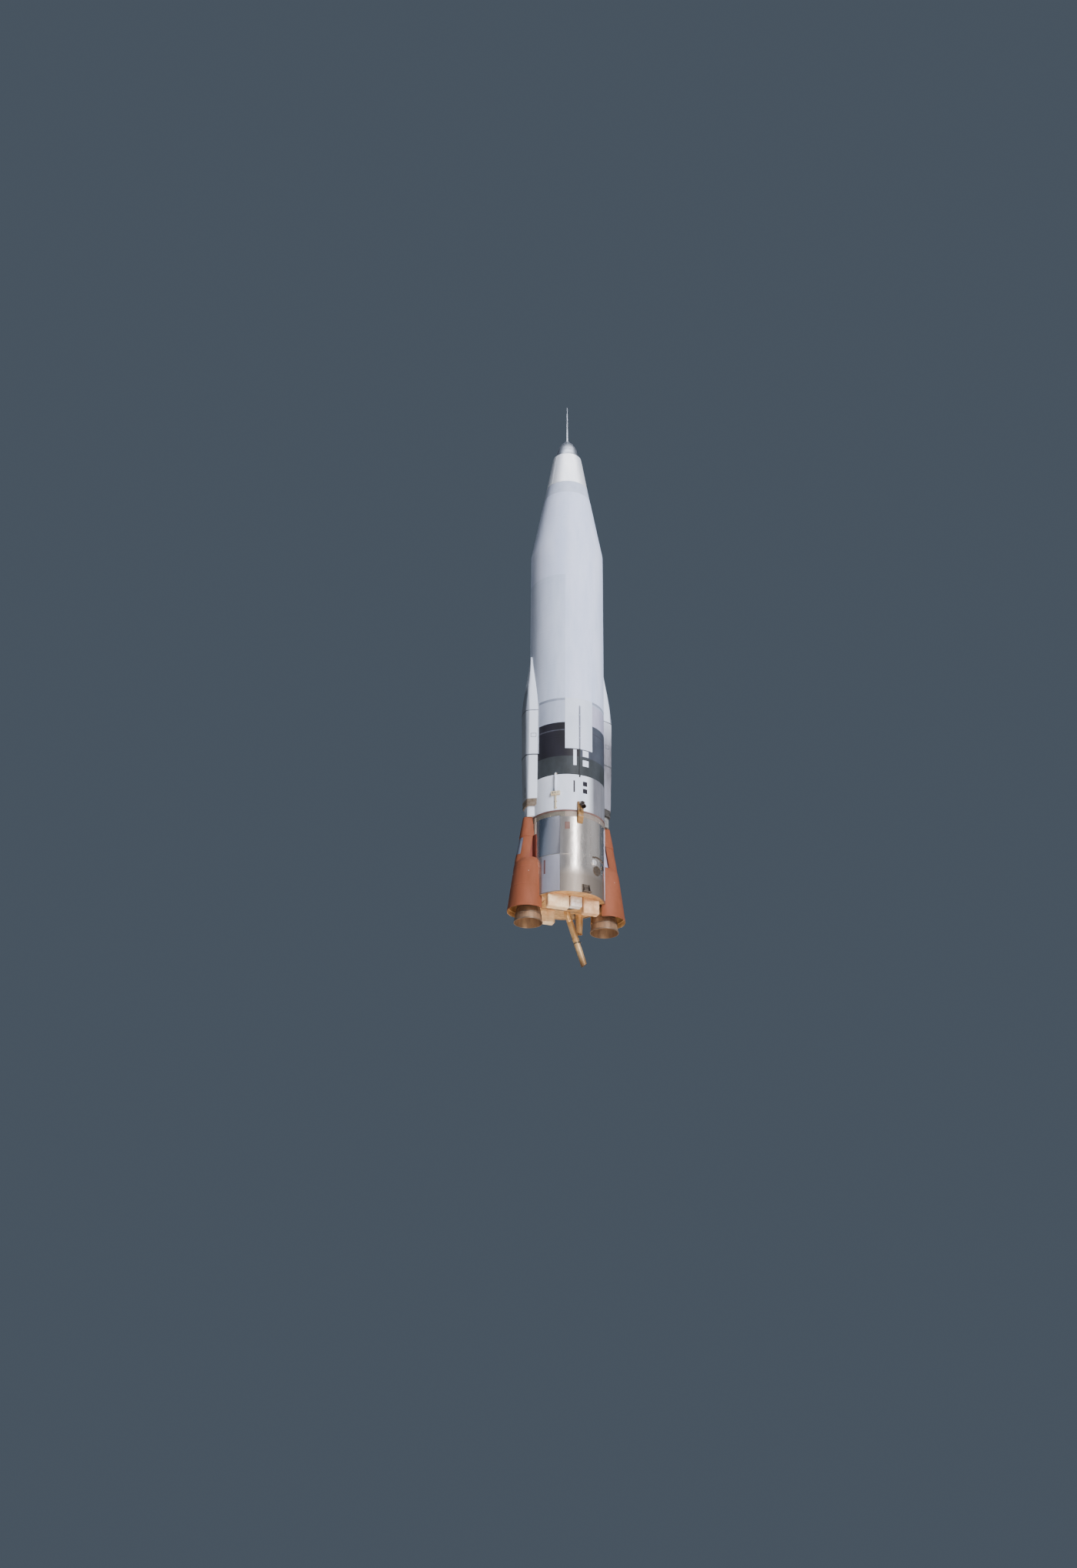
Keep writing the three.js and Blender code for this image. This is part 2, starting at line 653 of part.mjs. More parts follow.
// The yoke's shaft, flange, bar across and two arms. Bars are as high as the arms.
const FLANGE_RADIUS = 75;
const barAcross = (x0, x1, half) =>
  box(x0, x1, -half, half, VERNIER_HEIGHT - ARM_HALF, VERNIER_HEIGHT + ARM_HALF);
const betweenArms = box(1736, 1900, -ARM_NEAR, ARM_NEAR, VERNIER_HEIGHT - 100, VERNIER_HEIGHT + 100);
const yoke = joined(
  shaftLine(1600, 1680, SHAFT_RADIUS),
  shaftLine(HOUSING_FACE + 6, 1700, FLANGE_RADIUS),
  barAcross(1699, 1736, ARM_FAR),
  without(barAcross(1735, 1860, ARM_FAR), betweenArms),
);
const boredYoke = without(yoke, pinLine(200, bore(TRUNNION_RADIUS, PIN_SIDES)));

// The small chamber and bell, hanging from its pins. Columns: outer radius, height.
const SMALL_BELL = [
  [100, -290],
  [78, -215],
  [32, -150],
  [55, -105],
  [55, 30],
];
const SMALL_SIDES = 20;
const smallHollow = turned([
  [0, -300],
  [94, -300],
  [94, -290],
  [72, -215],
  [26, -150],
  [49, -105],
  [49, 10],
  [0, 10],
], SMALL_SIDES);
const smallChamber = joined(
  without(turned([[0, -290], ...SMALL_BELL, [0, 30]], SMALL_SIDES), smallHollow),
  without(
    rod([0, -ARM_FAR, 0], [0, ARM_FAR, 0], TRUNNION_RADIUS, PIN_SIDES),
    rod([0, -50, 0], [0, 50, 0], TRUNNION_RADIUS + 5, PIN_SIDES),
  ),
).rotate([0, -VERNIER_CANT, 0]);

for (const [face, turn] of FACES_OF_ROCKET) {
  place(`vernier_housing_${face}`, onSkin(housing, turn), insulation);
  place(`vernier_yoke_${face}`, around(boredYoke, turn - 90), darkSteel);
  const hung = moved(smallChamber, VERNIER_X, 0, VERNIER_HEIGHT);
  place(`vernier_chamber_${face}`, around(hung, turn - 90), darkSteel);
}

export default rocket;
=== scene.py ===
import math

import bmesh
import bpy
from mathutils import Matrix, Vector


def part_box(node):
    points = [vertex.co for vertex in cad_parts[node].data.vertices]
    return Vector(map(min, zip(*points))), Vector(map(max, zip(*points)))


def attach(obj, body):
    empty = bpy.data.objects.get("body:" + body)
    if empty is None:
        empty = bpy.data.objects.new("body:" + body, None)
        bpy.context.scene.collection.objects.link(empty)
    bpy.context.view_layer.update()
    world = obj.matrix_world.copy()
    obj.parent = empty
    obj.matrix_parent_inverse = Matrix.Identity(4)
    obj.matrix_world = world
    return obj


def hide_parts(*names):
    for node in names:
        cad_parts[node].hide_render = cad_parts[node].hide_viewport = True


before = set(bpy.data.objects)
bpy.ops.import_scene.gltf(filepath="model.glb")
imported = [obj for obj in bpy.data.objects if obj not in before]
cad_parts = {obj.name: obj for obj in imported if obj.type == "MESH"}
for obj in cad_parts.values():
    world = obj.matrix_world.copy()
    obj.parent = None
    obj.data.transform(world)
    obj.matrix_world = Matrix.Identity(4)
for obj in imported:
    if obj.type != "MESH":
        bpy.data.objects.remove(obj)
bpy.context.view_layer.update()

# Camera and studio. A long lens looks up from 74 m away and 30 m below the tail, to the left of
# the rocket's front. A large soft panel lights it from just right of the front. Metal mirrors
# cards that light nothing else: a narrow one, a wide one on each side and one over the nose.
IMAGE_HEIGHT = 2038
FOCAL_PIXELS = 2629.2
SENSOR = 36.0
CAMERA_SIDE = -20                       # degrees, from the front toward +X
CAMERA_AWAY = 73.725
CAMERA_BELOW = 30.472
CAMERA_HEADING = 19.113                 # degrees, from +Y toward +X
CAMERA_PITCH = 25.897
CAMERA_ROLL = 0.46
EYE_HEIGHT = 1.6
FLOOR_RADIUS = 260.0
AIMED_AT = Vector((0, 0, 8))            # where the lights point
COLOUR_A, COLOUR_B, MIXED = 6, 7, 2     # sockets of a Mix node set to colours


def linear(code):
    """An sRGB hex colour as the linear red, green, blue and alpha that a shader reads."""
    channels = [int(code[i:i + 2], 16) / 255 for i in (1, 3, 5)]
    curve = [c / 12.92 if c <= 0.04045 else ((c + 0.055) / 1.055) ** 2.4 for c in channels]
    return (*curve, 1.0)


def node(tree, kind, values=None, links=None, **settings):
    """Adds one shader node with its settings, socket values and incoming links."""
    made = tree.nodes.new(kind)
    for name, value in settings.items():
        setattr(made, name, value)
    for socket, value in (values or {}).items():
        made.inputs[socket].default_value = value
    for socket, source in (links or {}).items():
        tree.links.new(source, made.inputs[socket])
    return made


def surface(name, pale, deep, patch, rough, metallic=0.0, stretch=1.0, spread=0.06,
            grain=0.0, relief=0.0):
    """A finish whose colour drifts from pale to deep in patches of a size in metres.

    stretch draws the patches out along Z, spread is how far the roughness wanders, and
    grain and relief are the width and depth in metres of the fine unevenness.
    """
    material = bpy.data.materials.new(name)
    material.use_nodes = True
    tree = material.node_tree
    shader = tree.nodes["Principled BSDF"]
    place = node(tree, "ShaderNodeTexCoord").outputs["Object"]
    scaled = node(tree, "ShaderNodeMapping",
                  {"Scale": (1 / patch, 1 / patch, 1 / (patch * stretch))}, {"Vector": place})
    drift = node(tree, "ShaderNodeTexNoise", {"Scale": 1.0, "Detail": 6.0, "Roughness": 0.62},
                 {"Vector": scaled.outputs["Vector"]})
    ramp = node(tree, "ShaderNodeValToRGB", links={"Fac": drift.outputs["Fac"]})
    for stop, position, code in zip(ramp.color_ramp.elements, (0.36, 0.62), (deep, pale)):
        stop.position, stop.color = position, linear(code)
    tree.links.new(ramp.outputs["Color"], shader.inputs["Base Color"])
    wander = node(tree, "ShaderNodeMapRange",
                  {"From Min": 0.3, "From Max": 0.7, "To Min": rough + spread, "To Max": rough - spread},
                  {"Value": drift.outputs["Fac"]})
    tree.links.new(wander.outputs["Result"], shader.inputs["Roughness"])
    if grain:
        fine = node(tree, "ShaderNodeTexNoise", {"Scale": 1 / grain, "Detail": 3.0}, {"Vector": place})
        bump = node(tree, "ShaderNodeBump", {"Strength": 1.0, "Distance": relief},
                    {"Height": fine.outputs["Fac"]})
        tree.links.new(bump.outputs["Normal"], shader.inputs["Normal"])
    shader.inputs["Metallic"].default_value = metallic
    return material


def distance_along(tree, axis):
    """The socket that gives a point's distance along an axis from the rocket's origin."""
    place = node(tree, "ShaderNodeTexCoord").outputs["Object"]
    return node(tree, "ShaderNodeSeparateXYZ", links={"Vector": place}).outputs[axis]


def graded(material, axis, start, end, code):
    """Blends a finish from a plain colour at start to its own colours at end, along an axis.

    The distances are in metres from the rocket's middle plane or, for Z, above the tail.
    """
    tree = material.node_tree
    base = tree.nodes["Principled BSDF"].inputs["Base Color"]
    along = distance_along(tree, axis)
    if axis != "Z":
        along = node(tree, "ShaderNodeMath", links={0: along}, operation="ABSOLUTE").outputs["Value"]
    share = node(tree, "ShaderNodeMapRange", {"From Min": start, "From Max": end}, {"Value": along})
    mix = node(tree, "ShaderNodeMix", {COLOUR_A: linear(code)},
               {0: share.outputs["Result"], COLOUR_B: base.links[0].from_socket}, data_type="RGBA")
    tree.links.new(mix.outputs[MIXED], base)
    return material


def around(degrees, away, height):
    """A spot at a distance from the rocket's axis, in degrees from the front toward +X."""
    turn = math.radians(degrees)
    return Vector((math.sin(turn) * away, -math.cos(turn) * away, height))


def placed(name, data):
    """Puts an object with this data into the scene."""
    made = bpy.data.objects.new(name, data)
    bpy.context.scene.collection.objects.link(made)
    return made


def mesh_of(bm, name):
    """Turns a bmesh into a mesh and frees it."""
    mesh = bpy.data.meshes.new(name)
    bm.to_mesh(mesh)
    bm.free()
    return mesh


camera_data = bpy.data.cameras.new("camera")
camera_data.sensor_fit = "VERTICAL"
camera_data.sensor_height = SENSOR
camera_data.lens = FOCAL_PIXELS / IMAGE_HEIGHT * SENSOR
camera_data.clip_end = 1000.0
camera = placed("camera", camera_data)
camera.matrix_world = (
    Matrix.Translation(around(CAMERA_SIDE, CAMERA_AWAY, -CAMERA_BELOW))
    @ Matrix.Rotation(math.radians(-CAMERA_HEADING), 4, "Z")
    @ Matrix.Rotation(math.radians(90 + CAMERA_PITCH), 4, "X")
    @ Matrix.Rotation(math.radians(CAMERA_ROLL), 4, "Z"))
bpy.context.scene.camera = camera

floor_bm = bmesh.new()
bmesh.ops.create_circle(floor_bm, cap_ends=True, segments=96, radius=FLOOR_RADIUS)
bmesh.ops.translate(floor_bm, verts=floor_bm.verts, vec=(0, 0, -CAMERA_BELOW - EYE_HEIGHT))
floor = placed("studio_floor", mesh_of(floor_bm, "studio_floor"))
floor.data.materials.append(surface("matt_floor_paint", "#d9dad8", "#d2d3d2", 9.0, 0.9))

# Columns: name, degrees from the front toward +X, distance, height, width, tall, power in kW,
# colour, whether it lights paint, whether metal mirrors it.
PANELS_OF_LIGHT = [
    ("key_panel", 9, 60, 30, 22, 36, 84, "#ecf0ff", True, False),
    ("line_card", 4.5, 56, 10, 5, 60, 24, "#fffaf6", False, True),
    ("nose_card", -14, 9, 31, 28, 7, 3.4, "#f6f8ff", False, True),
    ("left_card", -62, 60, 34, 130, 60, 6.5, "#f0f4ff", False, True),
    ("right_card", 68, 60, 34, 150, 60, 9.5, "#fff8f2", False, True),
    ("low_panel", -15, 12, -22, 14, 10, 6.0, "#ffe9d2", True, True),
    ("back_panel", 165, 60, 24, 30, 40, 36, "#eaf0ff", True, False),
    ("back_card", 165, 60, 24, 30, 40, 14, "#eaf0ff", False, True),
]
for name, turn, away, height, width, tall, kilowatts, tint, lights_paint, mirrored in PANELS_OF_LIGHT:
    light = bpy.data.lights.new(name, "AREA")
    light.shape = "RECTANGLE"
    light.size = width
    light.size_y = tall
    light.energy = kilowatts * 1000
    light.color = linear(tint)[:3]
    panel = placed(name, light)
    spot = around(turn, away, height)
    faced = (AIMED_AT - spot).to_track_quat("-Z", "Z").to_matrix().to_4x4()
    panel.matrix_world = Matrix.Translation(spot) @ faced
    panel.visible_camera = False
    panel.visible_diffuse = lights_paint
    panel.visible_glossy = mirrored

world = bpy.data.worlds.new("studio_air")
world.use_nodes = True
air = world.node_tree
direction = node(air, "ShaderNodeTexCoord").outputs["Generated"]
heading = node(air, "ShaderNodeSeparateXYZ", links={"Vector": direction})
to_front = node(air, "ShaderNodeMapRange", {"From Min": 0.1, "From Max": -0.75},
                {"Value": heading.outputs["Y"]})
sweep = node(air, "ShaderNodeValToRGB", links={"Fac": to_front.outputs["Result"]})
for stop, code in zip(sweep.color_ramp.elements, ("#4c5662", "#7c7e82")):
    stop.color = linear(code)
air.links.new(sweep.outputs["Color"], air.nodes["Background"].inputs["Color"])
air.nodes["Background"].inputs["Strength"].default_value = 1.0
bpy.context.scene.world = world

# Fuel tank. Courses of thin stainless sheet, 0.8 m high, welded edge to edge into a drum 3.05 m
# across, then sprayed: a white band, a black band, a ring of white and black panels for watching
# the rocket roll, and pale grey with white above them. The black is painted lighter and greenish at
# the band's foot, and lighter on the right half, as a painted sheen.
SKIN_SIDES = 144
SKIN_STEP = 360 / SKIN_SIDES
WELD_HALF = 0.012
WELD_RISE = 0.0015
WELD_SUPPORT = 0.03                     # keeps the shading flat up to here beside a weld
COURSE = 0.81
WHITE_BAND_TOP = 5.03
SHEEN_FOOT_TOP = 5.85
BLACK_BAND_TOP = 6.19
PANEL_RING_TOP = 7.37
PANEL_EDGE = 22.5                       # degrees, where the painted panels meet
LILAC_TOP = 8.3
JOINT_SHADE_HEIGHT = 0.11                      # height of the band painted darker under the joint of the two tanks, as painted shade
SEAM_LINE = (7.0, 7.05)
# Plain marks in place of numerals. Columns: degrees from, degrees to, height from, height to.
WHITE_MARKS = [(-10.0, -5.0, 5.45, 6.15), (5.0, 15.0, 5.45, 5.72), (5.0, 15.0, 5.88, 6.15)]
DARK_MARKS = [(-10.0, -7.5, 4.25, 4.77), (5.0, 12.5, 4.25, 4.45), (5.0, 12.5, 4.57, 4.77)]
DARKEN_FROM, DARKEN_TO = 12, 82             # degrees, where the white band turns grey toward the right
WHITE, BLACK, SHEEN_FOOT, SHEEN_RIGHT, GREY, LILAC, SEAM, DARKENED_RIGHT, JOINT_SHADE, PANEL = range(10)


def lathe(profile, sides, centre=(0.0, 0.0), foot=0.0):
    """A bmesh turned about a line along Z from a profile of (radius, height above foot) points."""
    bm = bmesh.new()
    points = [bm.verts.new((radius, 0.0, foot + height)) for radius, height in profile]
    edges = [bm.edges.new(pair) for pair in zip(points, points[1:])]
    bmesh.ops.spin(bm, geom=points + edges, cent=(0, 0, 0), axis=(0, 0, 1), dvec=(0, 0, 0),
                   angle=2 * math.pi, steps=sides, use_merge=True)
    bmesh.ops.remove_doubles(bm, verts=bm.verts, dist=1e-5)
    bmesh.ops.recalc_face_normals(bm, faces=bm.faces)
    bmesh.ops.translate(bm, verts=bm.verts, vec=(*centre, 0))
    return bm


def bearing(point):
    """Degrees around the rocket from the front, positive toward +X."""
    return math.degrees(math.atan2(point.x, -point.y))


def painted(bm, paint_at):
    """Gives each face its paint's number, which paint_at says for the face's middle."""
    for face in bm.faces:
        face.material_index = int(paint_at(face.calc_center_median()))


def about_axis(bm, verts, degrees):
    """Turns vertices about the rocket's axis."""
    bmesh.ops.rotate(bm, cent=(0, 0, 0), matrix=Matrix.Rotation(math.radians(degrees), 3, "Z"), verts=verts)


def finished(name, bm, materials, replaced=None, turn=0.0, sharp=35.0, body="airframe"):
    """Turns a shape about the rocket's axis and makes it a piece, smooth but for its sharp edges.

    replaced is the frame's node that the piece stands in for; turn and sharp are in degrees.
    """
    about_axis(bm, bm.verts[:], turn)
    mesh = mesh_of(bm, name)
    for material in materials:
        mesh.materials.append(material)
    mesh.shade_smooth()
    mesh.set_sharp_from_angle(angle=math.radians(sharp))
    piece = placed(name, mesh)
    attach(piece, body)
    if replaced:
        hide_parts(replaced)


def skin(radius_at, foot, head, heights, welds):
    """A closed drum with a row of edges at each height and a raised weld at each of the welds."""
    points = [(radius_at(z), z) for z in {foot, head, *heights}]
    for z in welds:
        points += [(radius_at(z + side * away), z + side * away)
                   for side in (-1, 1) for away in (WELD_HALF, WELD_SUPPORT)]
        points += [(radius_at(z) + WELD_RISE, z + side * WELD_HALF / 2) for side in (-1, 1)]
    points.sort(key=lambda point: point[1])
    return lathe([(0.0, foot), *points, (0.0, head)], SKIN_SIDES)


def enamel(name, pale, deep, patch, rough, stretch=2.0):
    """A sprayed enamel with a fine orange peel."""
    return surface(name, pale, deep, patch, rough, stretch=stretch, grain=0.05, relief=0.0004)


tank_paints = [
    enamel("white_enamel", "#ebeff6", "#d8dee8", 1.6, 0.42, 2.5),
    enamel("black_enamel", "#211f28", "#15141a", 1.2, 0.45),
    # Black painted lighter and greenish, a painted sheen at the foot of the black band.
    enamel("black_enamel_painted_sheen_foot", "#3b4043", "#2b2f31", 0.9, 0.55),
    # Black painted lighter, a painted sheen on the right half of the black.
    enamel("black_enamel_painted_sheen_right", "#464b54", "#383c45", 0.9, 0.5),
    enamel("pale_grey_enamel", "#bcc3d1", "#a8b0c0", 1.1, 0.5, 3.0),
    enamel("lilac_grey_enamel", "#bcbac9", "#a5a3b4", 0.9, 0.5, 3.0),
    surface("seam_sealant", "#4a4b54", "#3b3c44", 0.2, 0.6),
    # White that turns grey from 0.33 m to 0.66 m right of the middle plane.
    graded(enamel("white_enamel_darkened_right", "#828286", "#646468", 0.5, 0.55, 7.0), "X", 0.33, 0.66, "#e3e7eb"),
    # Grey painted darker: painted shade under the joint of the two tanks.
    enamel("grey_enamel_painted_joint_shade", "#9ba2af", "#8b929f", 0.6, 0.55, 3.0),
    enamel("panel_white_enamel", "#dce2ec", "#cad1dd", 1.6, 0.45, 2.5),
]
tank_foot, tank_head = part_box("fuel_tank")
tank_radius = tank_head.x
fuel_bm = skin(lambda z: tank_radius, tank_foot.z, tank_head.z,
               [WHITE_BAND_TOP, SHEEN_FOOT_TOP, BLACK_BAND_TOP, PANEL_RING_TOP, LILAC_TOP,
                tank_head.z - JOINT_SHADE_HEIGHT, *SEAM_LINE,
                *[z for mark in WHITE_MARKS + DARK_MARKS for z in mark[2:]]],
               [tank_foot.z + COURSE * i for i in range(1, 6)])


def tank_paint(point):
    """Which paint the fuel tank wears at a point."""
    angle, height = bearing(point), point.z
    right_half = 0 < angle < 90             # the right half, where the black is painted lighter, a painted sheen, and the grey is lilac
    marks = DARK_MARKS if height < WHITE_BAND_TOP else WHITE_MARKS
    marked = any(a < angle < b and low < height < high for a, b, low, high in marks)
    if height < WHITE_BAND_TOP:
        return BLACK if marked else DARKENED_RIGHT if DARKEN_FROM < angle < DARKEN_TO else WHITE
    if marked:
        return WHITE
    # The foot of the black band: black painted lighter, a painted sheen.
    if height < SHEEN_FOOT_TOP:
        return SHEEN_FOOT
    # On the right half the black is painted lighter, a painted sheen.
    if height < BLACK_BAND_TOP:
        return SHEEN_RIGHT if right_half else BLACK
    if abs((angle + 45) % 90 - 45) < PANEL_EDGE:
        return PANEL
    if height < PANEL_RING_TOP:
        return SEAM if SEAM_LINE[0] < height < SEAM_LINE[1] else SHEEN_RIGHT if right_half else BLACK
    # Just under the joint of the two tanks the grey is painted darker, as painted shade.
    if height > tank_head.z - JOINT_SHADE_HEIGHT:
        return JOINT_SHADE
    return LILAC if right_half and height < LILAC_TOP else GREY


painted(fuel_bm, tank_paint)
finished("fuel_tank_skin", fuel_bm, tank_paints, "fuel_tank")

# Oxidiser tank and its cone. The same bare steel courses, but the supercooled oxygen inside
# has frosted them: blue-white, dull, drawn down in streaks, thinner and greyer on the front
# left where the panels below it are black. The cone's top is a bare grey band.
FROST_PATCH_TOP = 14.35
CONE_COURSES = 5
CONE_TOP_RADIUS = 0.891
GREY_BAND_FOOT = 18.82

frost = surface("frost", "#dfe4f4", "#cad3e8", 0.9, 0.75, stretch=5.0, grain=0.03, relief=0.0015)
thin_frost = surface("thin_frost", "#d3dae9", "#bec8da", 0.9, 0.7, stretch=5.0, grain=0.03, relief=0.001)
bare_band = surface("thinly_frosted_band", "#cbd1de", "#b9c0cf", 0.6, 0.6, stretch=2.0,
                    grain=0.03, relief=0.0004)
oxidiser_foot, oxidiser_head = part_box("oxidiser_tank")
oxidiser_bm = skin(lambda z: tank_radius, oxidiser_foot.z, oxidiser_head.z, [FROST_PATCH_TOP],
                   [oxidiser_foot.z + COURSE * i for i in range(1, 10)])
painted(oxidiser_bm, lambda p: p.z < FROST_PATCH_TOP and -5 * PANEL_EDGE < bearing(p) < -PANEL_EDGE)
finished("oxidiser_tank_skin", oxidiser_bm, [frost, thin_frost], "oxidiser_tank")


def between(z, low, high, at_low, at_high):
    """The value at z on a straight run from at_low at low to at_high at high."""
    return at_low + (at_high - at_low) * ((z - low) / (high - low))


cone_foot, cone_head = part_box("tank_cone")
cone_step = (cone_head.z - cone_foot.z) / CONE_COURSES
cone_bm = skin(lambda z: between(z, cone_foot.z, cone_head.z, tank_radius, CONE_TOP_RADIUS),
               cone_foot.z, cone_head.z, [GREY_BAND_FOOT],
               [cone_foot.z + cone_step * i for i in range(1, CONE_COURSES)])
painted(cone_bm, lambda point: point.z > GREY_BAND_FOOT)
finished("tank_cone_skin", cone_bm, [frost, bare_band], "tank_cone")

# Nose. A cone of bright aluminium sheet in lapped gores, a spun aluminium cap with a bolted
# rim, and a thin tapering probe that measures the air ahead.
SHOULDER_RADIUS = 0.616
SHOULDER_ROUND = 0.06
GORES = 8
LAP_WIDTH = 0.03
LAP_RISE = 0.004
LAP_FOOT = 0.03                         # above the foot of the cone
ROUND_SIDES = 96
CAP_RADIUS = 0.49
CAP_RIM = 0.03
CAP_BOLTS = 24
PROBE_SEAT = 0.11
PROBE_RADIUS = 0.05

bright_aluminium = surface("bright_aluminium_sheet", "#ffffff", "#f3f5fa", 0.5, 0.4, metallic=0.4,
                           stretch=4.0, grain=0.01, relief=0.0002)
spun_aluminium = surface("spun_aluminium", "#b6bbc4", "#989fab", 0.25, 0.42, metallic=0.95)
nose_foot, nose_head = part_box("nose_cone")
shoulder_height = nose_head.z - SHOULDER_ROUND
lap_foot = nose_foot.z + LAP_FOOT


def arc(centre, radius, start, end, steps):
    """Points of an arc in the radius and height plane, between two angles in degrees."""
    turns = [math.radians(start + (end - start) * i / steps) for i in range(steps + 1)]
    return [(centre[0] + radius * math.cos(t), centre[1] + radius * math.sin(t)) for t in turns]


def rounded(bm, edges, width, segments=2):
    """Rounds edges off and returns the faces that this makes."""
    return bmesh.ops.bevel(bm, geom=edges, offset=width, offset_type="OFFSET", affect="EDGES",
                           segments=segments, profile=0.5, material=-1)["faces"]


def shell_done(bm, verts, material, bevel, segments=2):
    """Paints a fresh shell, rounds its edges off and returns its vertices."""
    faces = {f for v in verts for f in v.link_faces}
    for face in faces:
        face.material_index = material
    if bevel:
        made = rounded(bm, list({e for f in faces for e in f.edges}), bevel, segments)
        verts = {v for f in made for v in f.verts} | {v for v in verts if v.is_valid}
    return list(verts)


def block(bm, low, high, bevel=0.0, segments=2, material=0):
    """Adds a box between two corners, with its edges rounded."""
    low, high = Vector(low), Vector(high)
    made = bmesh.ops.create_cube(bm, size=1.0)["verts"]
    bmesh.ops.scale(bm, vec=high - low, verts=made)
    bmesh.ops.translate(bm, vec=(low + high) / 2, verts=made)
    return shell_done(bm, made, material, bevel, segments)


def rod(bm, start, end, radius, sides=24, tip=None, material=0):
    """Adds a round bar between two points, tapering to the tip's radius if one is given."""
    start, end = Vector(start), Vector(end)
    along = end - start
    matrix = Matrix.Translation((start + end) / 2) @ along.to_track_quat("Z", "Y").to_matrix().to_4x4()
    made = bmesh.ops.create_cone(bm, cap_ends=True, segments=sides, radius1=radius,
                                 radius2=radius if tip is None else tip, depth=along.length,
                                 matrix=matrix)["verts"]
    return shell_done(bm, made, material, 0)


def bolt_ring(bm, count, start, end, radius):
    """Adds hexagon bolt heads in a ring about the axis, the first from start to end."""
    for i in range(count):
        about_axis(bm, rod(bm, start, end, radius, 6), 360 / count * i)


nose_line = (nose_foot.z, shoulder_height, CONE_TOP_RADIUS, SHOULDER_RADIUS)
foot_radius = between(nose_foot.z, *nose_line)
shoulder = arc((SHOULDER_RADIUS - SHOULDER_ROUND, shoulder_height), SHOULDER_ROUND, 0, 90, 8)
nose_bm = lathe([(0.0, nose_foot.z), (foot_radius - 0.006, nose_foot.z),
                 (foot_radius - 0.006, nose_foot.z + 0.01), (foot_radius, nose_foot.z + 0.016),
                 *shoulder, (0.0, nose_head.z)], ROUND_SIDES)
gore_slope = math.atan2(CONE_TOP_RADIUS - SHOULDER_RADIUS, shoulder_height - nose_foot.z)
for i in range(GORES):
    lap = block(nose_bm, (-LAP_RISE, -LAP_WIDTH / 2, 0),
                (LAP_RISE, LAP_WIDTH / 2, (shoulder_height - lap_foot) / math.cos(gore_slope)), 0.002, 1)
    bmesh.ops.rotate(nose_bm, cent=(0, 0, 0), matrix=Matrix.Rotation(-gore_slope, 3, "Y"), verts=lap)
    bmesh.ops.translate(nose_bm, vec=(between(lap_foot, *nose_line), 0, lap_foot), verts=lap)
    about_axis(nose_bm, lap, 360 / GORES * (i + 0.5))
finished("nose_cone_sheet", nose_bm, [bright_aluminium], "nose_cone")

cap_foot, cap_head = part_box("nose_cap")
cap_rise = cap_head.z - cap_foot.z
cap_curve = [(CAP_RADIUS * x, cap_rise * y) for x, y in arc((0, 0), 1, 8, 84, 19)]
cap_bm = lathe([(0.0, 0.0), (CAP_RADIUS, 0.0), (CAP_RADIUS, CAP_RIM), (CAP_RADIUS - 0.008, CAP_RIM + 0.004),
                *cap_curve, (0.0, cap_rise)], ROUND_SIDES, foot=cap_foot.z)
at_bolt = cap_foot.z + CAP_RIM / 2
bolt_ring(cap_bm, CAP_BOLTS, (CAP_RADIUS - 0.01, 0, at_bolt), (CAP_RADIUS + 0.006, 0, at_bolt), 0.008)
finished("nose_cap_spinning", cap_bm, [spun_aluminium], "nose_cap")

probe_foot, probe_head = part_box("nose_probe")
probe_length = probe_head.z - probe_foot.z
probe_bm = lathe([(0.0, 0.0), (PROBE_SEAT, 0.0), (PROBE_SEAT, 0.02), (PROBE_SEAT - 0.006, 0.026),
                  (PROBE_RADIUS + 0.012, 0.05), (PROBE_RADIUS, 0.09), (0.035, 1.2), (0.038, 1.205),
                  (0.038, 1.23), (0.033, 1.235), (0.006, probe_length - 0.02), (0.0, probe_length)],
                 32, foot=probe_foot.z)
finished("nose_probe_tube", probe_bm, [spun_aluminium], "nose_probe")

# Ring at the foot of the tanks. A rolled steel angle that carries the thin skin down on to the
# thrust barrel, bolted all round, in a brown enamel that takes the heat of the small engines.
RING_BOLTS = 96
RING_GROOVE = 0.006
BOLT_RADIUS = 0.011
BOLT_RISE = 0.005

brown_enamel = surface("brown_heat_enamel", "#7d5f55", "#614942", 0.35, 0.55, grain=0.02, relief=0.0006)
ring_foot, ring_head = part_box("tank_ring")
ring_radius = ring_head.x
groove_radius = ring_radius - RING_GROOVE
ring_rise = ring_head.z - ring_foot.z
ring_bm = lathe([(0.0, 0.0), (ring_radius, 0.0), (ring_radius, 0.016), (groove_radius, 0.02),
                 (groove_radius, ring_rise - 0.016), (ring_radius, ring_rise - 0.012),
                 (ring_radius, ring_rise), (0.0, ring_rise)], SKIN_SIDES, foot=ring_foot.z)
at_bolt = (ring_foot.z + ring_head.z) / 2
bolt_ring(ring_bm, RING_BOLTS, (groove_radius - 0.002, 0, at_bolt), (groove_radius + BOLT_RISE, 0, at_bolt),
          BOLT_RADIUS)
finished("tank_ring_angle", ring_bm, [brown_enamel], "tank_ring")

# Thrust barrel. A drum of bright stainless sheet that takes the engines' push, open at both
# sides for them. Doublers frame the openings and edges, and laps are riveted. Under the ring the
# top is a tan band, painted darker olive on the front left and at the rear as painted shade. Its
# sheet is slightly wavy, so what it mirrors breaks into upright bands.
BARREL_WALL = 0.03
BAY_HALF = 0.55
BAY_TOP = 1.45
FRAME_WIDTH = 0.07
FRAME_RISE = 0.004
FOOT_DOUBLER = 0.09
HEAD_DOUBLER = 3.28
TAN_BAND_FROM = 3.18
OLIVE_TO = -22                          # degrees, where the olive painted shade gives way to tan
SEAM_AT = 1.58
SEAM_HALF = 0.02
RIVET_RADIUS = 0.007
RIVET_RISE = 0.003
RIVET_PITCH = 0.09
